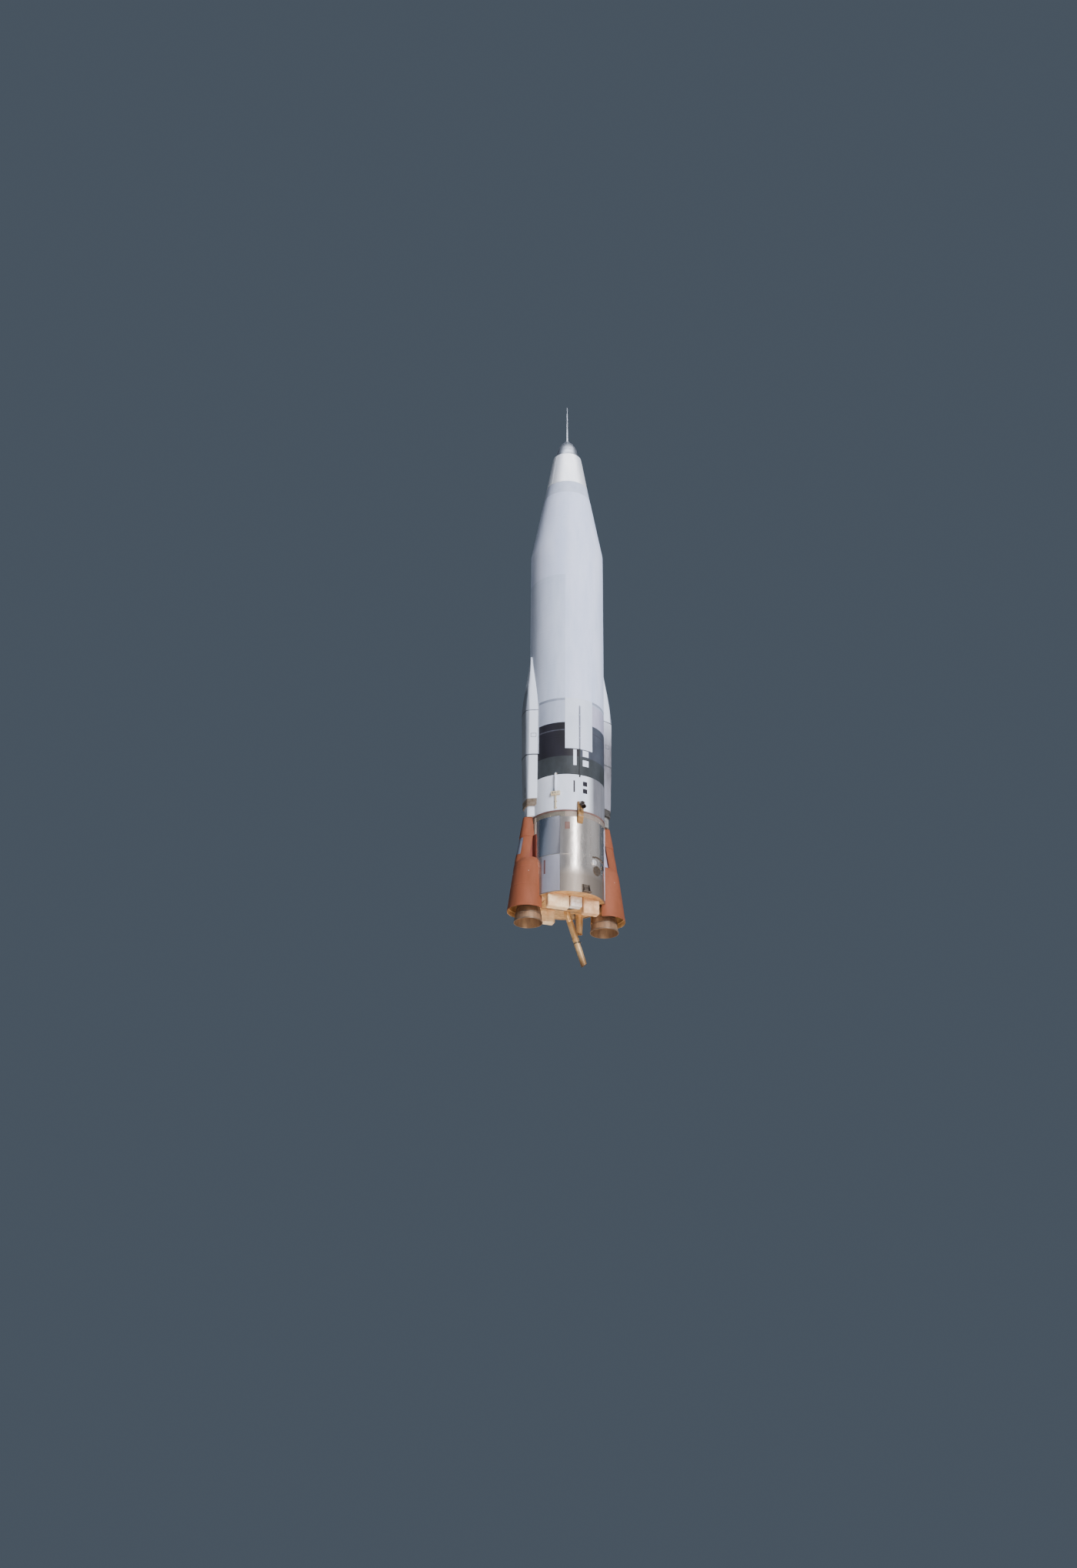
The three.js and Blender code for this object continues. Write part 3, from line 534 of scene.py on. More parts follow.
# Rows of rivets around the skin. Columns: height, degrees from, degrees to, in each half turn.
RIVET_ROWS = [(0.03, -65, 65), (0.065, -65, 65), (SEAM_AT - 0.045, -28, 65), (SEAM_AT + 0.045, -28, 65),
              (3.24, -89, 91), (3.345, -89, 91), (BAY_TOP + 0.035, -113, -67)]
# Upright riveted laps. Columns: degrees, height from, height to.
RIVET_LAPS = [(-27, 0.12, 3.16), (3, 0.12, 1.54), (18, 1.64, 3.16), (47, 0.12, 3.16), (-66.4, 0.12, 1.4),
              (66.4, 0.12, 1.4)]


def scuffed(material, top, full, more):
    """Makes a finish rougher toward the foot: none at the height top, by more at full."""
    tree = material.node_tree
    rough = tree.nodes["Principled BSDF"].inputs["Roughness"]
    wear = node(tree, "ShaderNodeMapRange", {"From Min": top, "From Max": full, "To Max": more},
                {"Value": distance_along(tree, "Z")})
    total = node(tree, "ShaderNodeMath", links={0: rough.links[0].from_socket, 1: wear.outputs["Result"]},
                 operation="ADD")
    tree.links.new(total.outputs["Value"], rough)
    return material


bright_stainless = surface("bright_stainless_sheet", "#f4f0ee", "#d2ccc9", 0.7, 0.28, metallic=1.0,
                           stretch=6.0, spread=0.05, grain=0.35, relief=0.01)
bright_stainless = scuffed(graded(bright_stainless, "Z", 0.7, 1.15, "#b3a9a1"), 1.1, 0.7, 0.22)
# The tan band at the top of the barrel, under the ring.
tan_band_steel = surface("tan_banded_steel", "#a4968a", "#857a6e", 0.5, 0.5, metallic=0.45,
                     grain=0.02, relief=0.0006)
# Olive: painted shade under the ring.
olive_painted_shade = surface("olive_painted_shade_steel", "#837d70", "#69645a", 0.4, 0.5, metallic=0.3,
                      grain=0.02, relief=0.0006)


def cut_through(bm, point, normal, **options):
    """Cuts a bmesh by a plane and returns the edges along the cut."""
    everything = bm.verts[:] + bm.edges[:] + bm.faces[:]
    cut = bmesh.ops.bisect_plane(bm, geom=everything, plane_co=point, plane_no=normal, dist=1e-6, **options)
    return [g for g in cut["geom_cut"] if isinstance(g, bmesh.types.BMEdge)]


def in_bay(face, margin):
    """Whether a face lies in an engine's opening, or within a margin around it."""
    middle = face.calc_center_median()
    return abs(middle.y) < BAY_HALF + margin and middle.z < BAY_TOP + margin


def doubled(face):
    """Whether a second sheet backs a face: around the openings, the edges and the seam."""
    height = face.calc_center_median().z
    at_edge = height < FOOT_DOUBLER or height > HEAD_DOUBLER or abs(height - SEAM_AT) < SEAM_HALF
    return at_edge or in_bay(face, FRAME_WIDTH)


def barrel_finish(point):
    """Bare steel, or above the band's foot the tan band or its olive painted shade."""
    if point.z <= TAN_BAND_FROM:
        return 0
    return 2 if -90 < bearing(point) < OLIVE_TO or bearing(point) > 180 + OLIVE_TO else 1


def spaced(start, end, count):
    """Evenly spaced values from start to end, one more than count."""
    return [start + (end - start) * i / count for i in range(count + 1)]


def rivet(bm, degrees, height, radius=tank_radius, material=0):
    """Adds one round rivet head on the skin."""
    made = rod(bm, (radius - 0.001, 0, height), (radius + RIVET_RISE, 0, height), RIVET_RADIUS, 8,
               RIVET_RADIUS * 0.55, material)
    about_axis(bm, made, degrees - 90)


barrel_foot, barrel_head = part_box("thrust_barrel")
barrel_heights = [barrel_foot.z, FOOT_DOUBLER, 0.5, 1.0, BAY_TOP, BAY_TOP + FRAME_WIDTH, SEAM_AT - SEAM_HALF,
                  SEAM_AT + SEAM_HALF, 2.1, 2.6, TAN_BAND_FROM, HEAD_DOUBLER, barrel_head.z]
barrel_bm = lathe([(tank_radius, z) for z in barrel_heights], SKIN_SIDES)
for y in (-BAY_HALF - FRAME_WIDTH, -BAY_HALF, BAY_HALF, BAY_HALF + FRAME_WIDTH):
    cut_through(barrel_bm, (0, y, 0), (0, 1, 0))
bmesh.ops.delete(barrel_bm, geom=[f for f in barrel_bm.faces if in_bay(f, 0)], context="FACES")
bmesh.ops.inset_region(barrel_bm, faces=[f for f in barrel_bm.faces if doubled(f)], thickness=0.003,
                       depth=FRAME_RISE, use_even_offset=True, use_boundary=False)
bmesh.ops.solidify(barrel_bm, geom=barrel_bm.faces[:], thickness=BARREL_WALL)
bmesh.ops.recalc_face_normals(barrel_bm, faces=barrel_bm.faces)
painted(barrel_bm, barrel_finish)
for turn in (0, 180):
    for height, start, end in RIVET_ROWS:
        count = round(math.radians(end - start) * tank_radius / RIVET_PITCH)
        for degrees in spaced(start, end, count):
            rivet(barrel_bm, degrees + turn, height)
    for degrees, low, high in RIVET_LAPS:
        for height in spaced(low, high, round((high - low) / RIVET_PITCH)):
            rivet(barrel_bm, degrees + turn, height)
        lap = block(barrel_bm, (tank_radius - 0.004, -0.02, low - 0.02),
                    (tank_radius + 0.002, 0.02, high + 0.02))
        about_axis(barrel_bm, lap, degrees - 90 + turn)
finished("thrust_barrel_skin", barrel_bm, [bright_stainless, tan_band_steel, olive_painted_shade],
         "thrust_barrel", sharp=25)

# Small plates on the barrel: a brown cover left of the front, and a long pale sealing strip
# between the skin and each nacelle. Pressed sheet, screwed on.
PLATE_GAP = 0.0005
PLATE_RISE = 0.012
FACES = (("front", 0), ("rear", 180))   # the copies of a piece and how far each is turned


def curved_plate(bm, sink, rise, start, end, low, high, bevel, material=0):
    """Adds a plate that follows the tank's skin, between two distances from it and two bearings."""
    inner, outer = tank_radius + sink, tank_radius + rise
    corners = [(inner, 0, low), (outer, 0, low), (outer, 0, high), (inner, 0, high)]
    first = bm.faces.new([bm.verts.new(corner) for corner in corners])
    before = set(bm.faces) - {first}
    about_axis(bm, first.verts[:], start - 90)
    bmesh.ops.spin(bm, geom=[first], cent=(0, 0, 0), axis=(0, 0, 1), dvec=(0, 0, 0),
                   angle=math.radians(end - start), steps=max(1, round((end - start) / SKIN_STEP)))
    faces = [f for f in bm.faces if f not in before]
    bmesh.ops.recalc_face_normals(bm, faces=faces)
    for face in faces:
        face.material_index = material
    edges = {e for f in faces for e in f.edges if e.calc_face_angle(0) > 1.0}
    rounded(bm, [e for e in edges if all(v.co.xy.length > outer - 1e-5 for v in e.verts)], bevel)


pale_strip_paint = surface("pale_strip_enamel", "#c3bfca", "#aba6b4", 0.4, 0.4, metallic=0.2, stretch=4.0)
for name, start, end, low, high, paint in (("brown_cover", -22.5, -15.0, 2.64, 2.94, brown_enamel),
                                           ("sealing_strip", 57.5, 62.5, 0.12, 3.14, pale_strip_paint)):
    for face_name, turn in FACES:
        cover_bm = bmesh.new()
        curved_plate(cover_bm, PLATE_GAP, PLATE_RISE, start, end, low, high, 0.003)
        finished(f"{name}_{face_name}", cover_bm, [paint], turn=turn)

# Access panels. Two curved doors of polished steel at the front left and the rear right, held
# by quarter-turn studs, each over a thin dark gasket that shows as a line around it. The upper
# doors are painted from blue-grey to lilac across their width, a painted reflection; the lower ones
# are duller.
DOOR_EDGE = -30                         # degrees, the edge that all doors share
DOOR_GAP = 0.0003
GASKET_MARGIN = 0.016
GASKET_RISE = 0.004
STUD_PITCH = 0.16
STUD_INSET = 0.035
# A plain bar painted on the lower door: degrees from, degrees to, height from, height to.
PAINTED_BAR = (-55.6, -52.8, 0.81, 1.40)

# Painted from blue-grey at the outer edge to lilac toward the front: a painted reflection.
door_steel_painted_reflection = graded(surface("polished_door_steel_painted_reflection", "#b3bbc9", "#98a2b4", 0.8, 0.26, metallic=1.0,
                                     stretch=3.0, grain=0.3, relief=0.006), "X", 0.78, 1.3, "#ebe8f2")
dull_steel = surface("dull_steel_door", "#dedce8", "#c9c7d6", 0.8, 0.38, metallic=0.85, stretch=3.0,
                     grain=0.3, relief=0.004)
gasket_rubber = surface("gasket_rubber", "#5a5b60", "#48494e", 0.1, 0.7, grain=0.01, relief=0.0004)
red_brown_mark = surface("red_brown_mark", "#6f4d4b", "#5e403f", 0.1, 0.6)
margin = math.degrees(GASKET_MARGIN / tank_radius)
inset = math.degrees(STUD_INSET / tank_radius)
for face_name, turn in FACES:
    for name, start, low, high, steel in (("upper", -65, 1.6, 3.2, door_steel_painted_reflection),
                                          ("lower", -60, 0.03, 1.56, dull_steel)):
        door_bm = bmesh.new()
        curved_plate(door_bm, DOOR_GAP, GASKET_RISE, start - margin, DOOR_EDGE + margin,
                     max(low - GASKET_MARGIN, 0.012), high + GASKET_MARGIN, 0.001, 1)
        curved_plate(door_bm, DOOR_GAP, PLATE_RISE, start, DOOR_EDGE, low, high, 0.004)
        across = spaced(start + inset, DOOR_EDGE - inset,
                        round(math.radians(DOOR_EDGE - start) * tank_radius / STUD_PITCH))
        up = spaced(low + STUD_INSET, high - STUD_INSET, round((high - low) / STUD_PITCH))
        studs = [(degrees, z) for degrees in across for z in (up[0], up[-1])]
        studs += [(degrees, z) for z in up[1:-1] for degrees in (across[0], across[-1])]
        for degrees, z in studs:
            rivet(door_bm, degrees, z, tank_radius + PLATE_RISE, 2)
        if name == "lower":
            curved_plate(door_bm, 0.011, 0.0126, *PAINTED_BAR, 0.0002, 3)
        finished(f"access_door_{face_name}_{name}", door_bm,
                 [steel, gasket_rubber, spun_aluminium, red_brown_mark],
                 f"access_panel_{face_name}_{name}", turn)

# Base of the tail. A round heat shield of aluminised glass cloth, with a steel plate at its
# middle that the rocket is held by, and a cloth boot around each engine. Quilted boxes, cream
# where the cloth is new and gold where it's scorched, hang from the shield over the pumps; the
# front middle one is painted near white as a painted highlight.
BATTEN_LENGTH = 1.8
BATTENS_AT = (0.62, -0.62)
BATTEN_HALF = 0.02
BATTEN_DEEP = 0.006
QUILT_CELL = 0.2
QUILT_PUFF = 0.02
QUILT_CUTS = 19
BOOT_OUTER, BOOT_OPENING = 0.66, 0.52   # lets the engine swing five degrees about its gimbal
BOOT_AT = 1.59
PLATE_BOLTS = 24
SIDES = (("right", 0), ("left", 180))

gold_cloth = surface("aluminised_glass_cloth", "#e0b67f", "#bb8c57", 0.25, 0.46, metallic=0.25,
                     spread=0.1, grain=0.05, relief=0.008)


def blanket(name, pale, deep, patch, rough, metallic):
    """A glass cloth crumpled at 70 mm, each fold catching light."""
    return surface(name, pale, deep, patch, rough, metallic, spread=0.1, grain=0.07, relief=0.02)


cream_cloth = blanket("fresh_glass_cloth", "#ffe2b4", "#f2c796", 0.3, 0.5, 0.1)
# Near white: a painted highlight on the front middle box.
cloth_painted_highlight = blanket("glass_cloth_painted_highlight", "#fff8f0", "#e6d8ca", 0.2, 0.42, 0.2)
scorched_cloth = blanket("scorched_glass_cloth", "#f0c396", "#cc9e70", 0.3, 0.5, 0.1)
strap_steel = surface("strap_steel", "#8d8780", "#6b655f", 0.2, 0.4, metallic=1.0)


def quilted(low, high):
    """A box-shaped pad whose faces stand proud between crossing seams."""
    bm = bmesh.new()
    bmesh.ops.create_cube(bm, size=1.0)
    bmesh.ops.subdivide_edges(bm, edges=bm.edges[:], cuts=QUILT_CUTS, use_grid_fill=True)
    size = high - low
    cells = [max(2, round(length / QUILT_CELL)) for length in size]
    for vert in bm.verts:
        swell = [abs(math.sin(math.pi * (c + 0.5) * n)) for c, n in zip(vert.co, cells)]
        push = Vector()
        for axis in range(3):
            if abs(vert.co[axis]) > 0.4999:
                others = swell[axis - 1] * swell[axis - 2]
                push[axis] = math.copysign(QUILT_PUFF * others ** 0.4, vert.co[axis])
        vert.co = Vector([c * (s - 2 * QUILT_PUFF) for c, s in zip(vert.co, size)]) + push + (low + high) / 2
    bmesh.ops.smooth_vert(bm, verts=bm.verts, factor=0.5, use_axis_x=True, use_axis_y=True, use_axis_z=True)
    return bm


shield_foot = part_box("base_shield")[0].z
shield_bm = bmesh.new()
shield_bm.from_mesh(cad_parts["base_shield"].data)
bmesh.ops.remove_doubles(shield_bm, verts=shield_bm.verts, dist=1e-5)
for y in BATTENS_AT:
    block(shield_bm, (-BATTEN_LENGTH / 2, y - BATTEN_HALF, shield_foot - BATTEN_DEEP),
          (BATTEN_LENGTH / 2, y + BATTEN_HALF, shield_foot + 0.002), 0.002, 1, 1)
finished("base_shield_blanket", shield_bm, [gold_cloth, strap_steel], "base_shield")

for side, turn in SIDES:
    boot_bm = lathe([(BOOT_OPENING, 0.085), (BOOT_OPENING, 0.075), (BOOT_OUTER, 0.071), (BOOT_OUTER, 0.081),
                     (BOOT_OPENING, 0.085)], 64, (BOOT_AT, 0))
    finished(f"engine_boot_{side}", boot_bm, [scorched_cloth], turn=turn)

low, high = [corner.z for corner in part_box("centre_closure_plate")]
plate_bm = lathe([(0, 0), (0.3, 0), (0.305, 0.005), (0.325, 0.005), (0.33, 0), (0.44, 0), (0.45, 0.01),
                  (0.45, high - low), (0, high - low)], ROUND_SIDES, foot=low)
bolt_ring(plate_bm, PLATE_BOLTS, (0.39, 0, low + 0.003), (0.39, 0, low - 0.006), 0.012)
closure_steel = surface("machined_steel_plate", "#86827d", "#6a6661", 0.3, 0.4, metallic=1.0)
finished("closure_plate_machined", plate_bm, [closure_steel], "centre_closure_plate")

for name, cloth in (("front_left", cream_cloth), ("front_middle", cloth_painted_highlight),
                    ("front_right", scorched_cloth), ("rear_left", cream_cloth)):
    low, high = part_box(f"shield_box_{name}")
    box_bm = quilted(low, high)
    block(box_bm, (low.x + 0.01, low.y + 0.01, high.z - 0.03), (high.x - 0.01, high.y - 0.01, high.z - 0.001),
          0.004, 1, 1)
    finished(f"quilted_box_{name}", box_bm, [cloth, scorched_cloth], f"shield_box_{name}",
             sharp=50)

# Turbine exhaust. A long slanted duct of thin steel with a corrugated joint near its top, a
# stiffening ring and a mouth cut level with the gas stream, held by one brace; and a short
# stub beside it. Heat has turned them gold, then brown toward the end.
DUCT_RADIUS = 0.125
DUCT_WALL = 0.008
DUCT_START = Vector((0.300, 0.750, 0.0))
DUCT_LEAN = Vector((0.590, -0.210, -2.060))
DUCT_TOP = shield_foot - 0.0003
SCARF_TURN = math.radians(-40)
SCARF_SHARE = 1.07
BRACE_SHARE = 0.62
BRACE_TOP = Vector((0.6517, 0.8518, DUCT_TOP))
BRACE_RADIUS = 0.018
STUB_AT = (0.89, 0.95)
STUB_BORE = 0.132

heat_tint = graded(surface("heat_tinted_steel", "#f0cc98", "#d8ab70", 0.3, 0.4, metallic=0.5, spread=0.08,
                           grain=0.02, relief=0.0005), "Z", -2.3, -1.5, "#6b4f38")


def tube(outer, inner, sides, centre=(0.0, 0.0)):
    """A tube between an outer and an inner run of (radius, height) points."""
    return lathe([*outer, *reversed(inner), outer[0]], sides, centre)


def cut_off(bm, point, outward):
    """Cuts a tube by a plane, drops what lies beyond it and closes the wall's edge."""
    bmesh.ops.bridge_loops(bm, edges=cut_through(bm, point, outward, clear_outer=True))


def bellows(radius, low, high, folds, depth):
    """Points of a corrugated run between two heights, for a profile that goes down."""
    steps = folds * 8
    return [(radius - depth * (0.5 - 0.5 * math.cos(2 * math.pi * folds * i / steps)),
             high + (low - high) * i / steps) for i in range(steps + 1)]


duct_outer = [(DUCT_RADIUS, 0.5), (DUCT_RADIUS, -0.1), *bellows(DUCT_RADIUS, -0.42, -0.14, 5, 0.016),
              (DUCT_RADIUS, -0.46), (DUCT_RADIUS, -1.14), (DUCT_RADIUS + 0.012, -1.15),
              (DUCT_RADIUS + 0.012, -1.17), (DUCT_RADIUS, -1.18), (DUCT_RADIUS, -1.8), (DUCT_RADIUS, -2.8)]
duct_inner = [(DUCT_RADIUS - DUCT_WALL - max(0, DUCT_RADIUS - r), z) for r, z in duct_outer]
duct_bm = tube(duct_outer, duct_inner, 64)
lean_turn = DUCT_LEAN.to_track_quat("-Z", "Y").to_matrix().to_4x4()
bmesh.ops.transform(duct_bm, matrix=Matrix.Translation(DUCT_START) @ lean_turn, verts=duct_bm.verts)
cut_off(duct_bm, (0, 0, DUCT_TOP), (0, 0, 1))
cut_off(duct_bm, DUCT_START + DUCT_LEAN * SCARF_SHARE, (-math.sin(SCARF_TURN), 0, -math.cos(SCARF_TURN)))
bmesh.ops.recalc_face_normals(duct_bm, faces=duct_bm.faces)
clamp_at = DUCT_START + DUCT_LEAN * BRACE_SHARE
clamp_bm = tube([(DUCT_RADIUS + 0.01, -0.02), (DUCT_RADIUS + 0.01, 0.02)],
                [(DUCT_RADIUS - 0.002, -0.02), (DUCT_RADIUS - 0.002, 0.02)], 64)
block(clamp_bm, (-0.02, DUCT_RADIUS, -0.02), (0.02, DUCT_RADIUS + 0.04, 0.02), 0.004)
bmesh.ops.transform(clamp_bm, matrix=Matrix.Translation(clamp_at) @ lean_turn, verts=clamp_bm.verts)
rod(clamp_bm, BRACE_TOP, clamp_at + Vector((0.02, 0.09, 0.0)), BRACE_RADIUS, 16)
rod(clamp_bm, BRACE_TOP - Vector((0, 0, 0.02)), BRACE_TOP, 0.05)
finished("exhaust_duct_tube", duct_bm, [heat_tint], "exhaust_duct")
finished("exhaust_duct_clamp", clamp_bm, [strap_steel])

low, high = [corner.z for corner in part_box("exhaust_stub")]
stub_bm = tube([(0.124, low), (0.124, low + 0.012), (0.12, low + 0.018), (0.14, -0.3), (0.14, -0.02),
                (0.165, -0.015), (0.165, high)],
               [(0.112, low), (0.112, low + 0.012), (0.112, low + 0.018), (STUB_BORE, -0.3),
                (STUB_BORE, -0.02), (STUB_BORE, -0.015), (STUB_BORE, high)], 64, STUB_AT)
finished("exhaust_stub_tube", stub_bm, [heat_tint], "exhaust_stub")

# Booster engines. Each bell is a wall of narrow tubes brazed side by side, through which the fuel
# runs to cool it, with steel bands around it. A forged dome with a ring of bolts closes the
# chamber, and a cross on two pairs of pins lets the whole engine swing.
ENGINE_X = 1.59
GIMBAL_HEIGHT = 1.1
BELL_TUBES = 96
TUBE_RISE = 0.007
BELL_WALL = 0.014
DOME_BOLTS = 36
CLEVIS_NEAR, CLEVIS_FAR, CLEVIS_HALF = 0.085, 0.115, 0.06
BELL_CURVE = [(0.560, -0.950), (0.538, -0.8), (0.513, -0.64), (0.490, -0.5), (0.448, -0.3), (0.403, -0.1),
              (0.375, 0.0), (0.335, 0.1), (0.290, 0.18), (0.245, 0.24), (0.205, 0.28), (0.198, 0.305),
              (0.200, 0.33), (0.226, 0.39), (0.260, 0.45), (0.260, 0.65), (0.260, 0.85)]
# Bands around the bell. Columns: height, half width, rise.
BELL_BANDS = [(-0.925, 0.022, 0.014), (-0.64, 0.015, 0.014), (-0.42, 0.012, 0.01), (-0.2, 0.012, 0.01),
              (0.05, 0.02, 0.016), (0.8, 0.03, 0.026)]

bronze_tubes = surface("brazed_tube_wall", "#b4916f", "#806450", 0.5, 0.46, metallic=0.5, stretch=3.0,
                       spread=0.1, grain=0.03, relief=0.0006)
band_steel = surface("heat_browned_band", "#a08b78", "#7b6a5c", 0.3, 0.4, metallic=0.7)
forged_steel = surface("forged_steel", "#8d8984", "#6c6863", 0.15, 0.45, metallic=1.0, grain=0.004,
                       relief=0.0004)


def bell_radius(height):
    """Outer radius of the bell's wall at a height."""
    for (r0, z0), (r1, z1) in zip(BELL_CURVE, BELL_CURVE[1:]):
        if z0 <= height <= z1:
            return between(height, z0, z1, r0, r1)


def add(bm, other):
    """Puts another bmesh into the first one as a loose shell."""
    mesh = mesh_of(other, "shell")
    bm.from_mesh(mesh)
    bpy.data.meshes.remove(mesh)


for side, turn in SIDES:
    bell_bm = tube(BELL_CURVE, [(r - BELL_WALL, z) for r, z in BELL_CURVE], 2 * BELL_TUBES)
    for vert in bell_bm.verts:
        if round(math.atan2(vert.co.y, vert.co.x) / math.pi * BELL_TUBES) % 2:
            radius = vert.co.xy.length
            vert.co.xy *= radius / (radius + TUBE_RISE)
    for height, half, rise in BELL_BANDS:
        low_r, mid_r, high_r = [bell_radius(z) for z in (height - half, height, height + half)]
        outer = [(low_r - 0.006, height - half), (low_r + rise * 0.7, height - half),
                 (mid_r + rise, height - half * 0.5), (mid_r + rise, height + half * 0.5),
                 (high_r + rise * 0.7, height + half), (high_r - 0.006, height + half)]
        band_bm = tube(outer, [], ROUND_SIDES)
        painted(band_bm, lambda point: 1)
        add(bell_bm, band_bm)
    bmesh.ops.translate(bell_bm, verts=bell_bm.verts, vec=(ENGINE_X, 0, 0))
    finished(f"thrust_chamber_tubes_{side}", bell_bm, [bronze_tubes, band_steel],
             f"thrust_chamber_{side}", turn, 50, f"engine_{side}")

    dome_bm = lathe([(0, 0.8503), (0.29, 0.8503), (0.29, 0.888), (0.283, 0.893), (0.245, 0.898),
                     (0.235, 0.905), (0.19, 0.935), (0.16, 0.946), (0.13, 0.955), (0.06, 0.96), (0, 0.96)],
                    ROUND_SIDES)
    bolt_ring(dome_bm, DOME_BOLTS, (0.268, 0, 0.892), (0.268, 0, 0.908), 0.009)
    for near, far in ((CLEVIS_NEAR, CLEVIS_FAR), (-CLEVIS_FAR, -CLEVIS_NEAR)):
        block(dome_bm, (near, -CLEVIS_HALF, 0.91), (far, CLEVIS_HALF, 1.03), 0.005)
        rod(dome_bm, (near, 0, GIMBAL_HEIGHT), (far, 0, GIMBAL_HEIGHT), CLEVIS_HALF, 48)
        block(dome_bm, (near, -CLEVIS_HALF, 1.0), (far, CLEVIS_HALF, GIMBAL_HEIGHT), 0.002)
    bmesh.ops.translate(dome_bm, verts=dome_bm.verts, vec=(ENGINE_X, 0, 0))
    finished(f"injector_dome_forged_{side}", dome_bm, [forged_steel],
             f"injector_dome_{side}", turn, body=f"engine_{side}")
    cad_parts[f"gimbal_cross_{side}"].material_slots[0].material = forged_steel

# Thrust beam: one welded steel box that carries both engines' clevises, left as the frame has
# it, in painted steel.
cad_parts["thrust_beam"].material_slots[0].material = surface(
    "grey_primed_steel", "#8b8f93", "#74787c", 0.3, 0.5, metallic=0.3, grain=0.006, relief=0.0004)

# Engine nacelles. Glass-fibre covers in a red heat-resisting enamel: an open flare around each
# engine, lined with gold cloth on rings, and a spine that carries its outer line on up.
FLARE_AXIS = 1.640
FLARE_LEAN = -0.063
FLARE_WALL = 0.015
FLARE_INBOARD = 1.25
FLARE_FOOT = -0.5
FLARE_SHOULDER = 1.28
FLARE_HEAD = 1.78
FOOT_RADIUS = 0.76
WAIST_RADIUS = 0.632
SHOULDER_SQUARENESS = 2.5
SKIN_GAP = 0.0003
# Raised bands around the flare. Columns: height from, height to.
FLARE_BANDS = [(-0.46, -0.40), (0.42, 0.48), (1.20, 1.25)]
BAND_RISE = 0.003
LINING_RINGS = (-0.30, 0.25, 0.80)
RING_DEEP = 0.02
# Screw heads along the bands, and paler fixings on the shoulder. Columns: height, radius, degrees
# from one to the next, paint.
SCREWS = [(-0.43, 0.007, 7.5, 0), (0.45, 0.007, 7.5, 0), (1.225, 0.007, 10, 0), (1.0, 0.018, 70, 2)]
SCREWS_TO = 105                         # degrees either way from the outer side

red_enamel = surface("red_heat_enamel", "#8e4f35", "#7d4428", 0.6, 0.66, stretch=3.0, spread=0.05,
                     grain=0.02, relief=0.0006)
# Red painted darker: painted shade in the hollow under the spine's lip.
dark_red_painted_shade = surface("red_enamel_painted_recess_shade", "#86402f", "#6c3225", 0.4, 0.62, stretch=2.0, grain=0.02,
                          relief=0.0006)
pale_fixing = surface("pale_fixing", "#d8d3cc", "#bcb6ae", 0.05, 0.4, metallic=0.6)


def flare_radius(height):
    """Outer radius of the flare: a straight cone, then a rounded shoulder that closes it."""
    if height <= FLARE_SHOULDER:
        return between(height, FLARE_FOOT, FLARE_SHOULDER, FOOT_RADIUS, WAIST_RADIUS)
    share = min(1.0, (height - FLARE_SHOULDER) / (FLARE_HEAD - FLARE_SHOULDER))
    return WAIST_RADIUS * (1 - share ** SHOULDER_SQUARENESS) ** (1 / SHOULDER_SQUARENESS)


def flare_profile(offset):
    """Points of the flare's wall, from its foot up, set in by an offset."""
    heights = [FLARE_FOOT, -0.46, -0.2, 0.1, 0.5, 0.9, 1.1, FLARE_SHOULDER]
    heights += [FLARE_SHOULDER + (FLARE_HEAD - FLARE_SHOULDER) * s
                for s in (0.12, 0.25, 0.37, 0.48, 0.6, 0.7, 0.79, 0.87, 0.93, 0.97)]
    return [(max(0.0, flare_radius(z) - offset), z - (offset if z > FLARE_SHOULDER else 0)) for z in heights]


def flare_lathe(section, sides):
    """Turns a section, leans it over as the flare leans, and sets it on the engine's line."""
    bm = lathe(section, sides)
    lean = Matrix(((1, 0, FLARE_LEAN, FLARE_AXIS), (0, 1, 0, 0), (0, 0, 1, 0), (0, 0, 0, 1)))
    bmesh.ops.transform(bm, matrix=lean, verts=bm.verts)
    return bm


def tank_tool(low, high, radius=tank_radius):
    """The tank's round as a shape to carve by, a hair wider than its skin."""
    return lathe([(0, low), (radius + SKIN_GAP, low), (radius + SKIN_GAP, high), (0, high)], SKIN_SIDES)


def carved(bm, *tools):
    """Takes closed shapes away from a closed shape and returns what is left of it."""
    for tool_bm in tools:
        whole, tool = [placed("carving", mesh_of(shape, "carving")) for shape in (bm, tool_bm)]
        cut = whole.modifiers.new("cut", "BOOLEAN")
        cut.operation = "DIFFERENCE"
        cut.solver = "EXACT"
        cut.object = tool
        bpy.context.view_layer.update()
        rest = whole.evaluated_get(bpy.context.evaluated_depsgraph_get())
        bm = bmesh.new()
        bm.from_mesh(rest.to_mesh())
        rest.to_mesh_clear()
        for shape in (whole, tool):
            bpy.data.meshes.remove(shape.data)
    bmesh.ops.remove_doubles(bm, verts=bm.verts, dist=1e-5)
    return bm


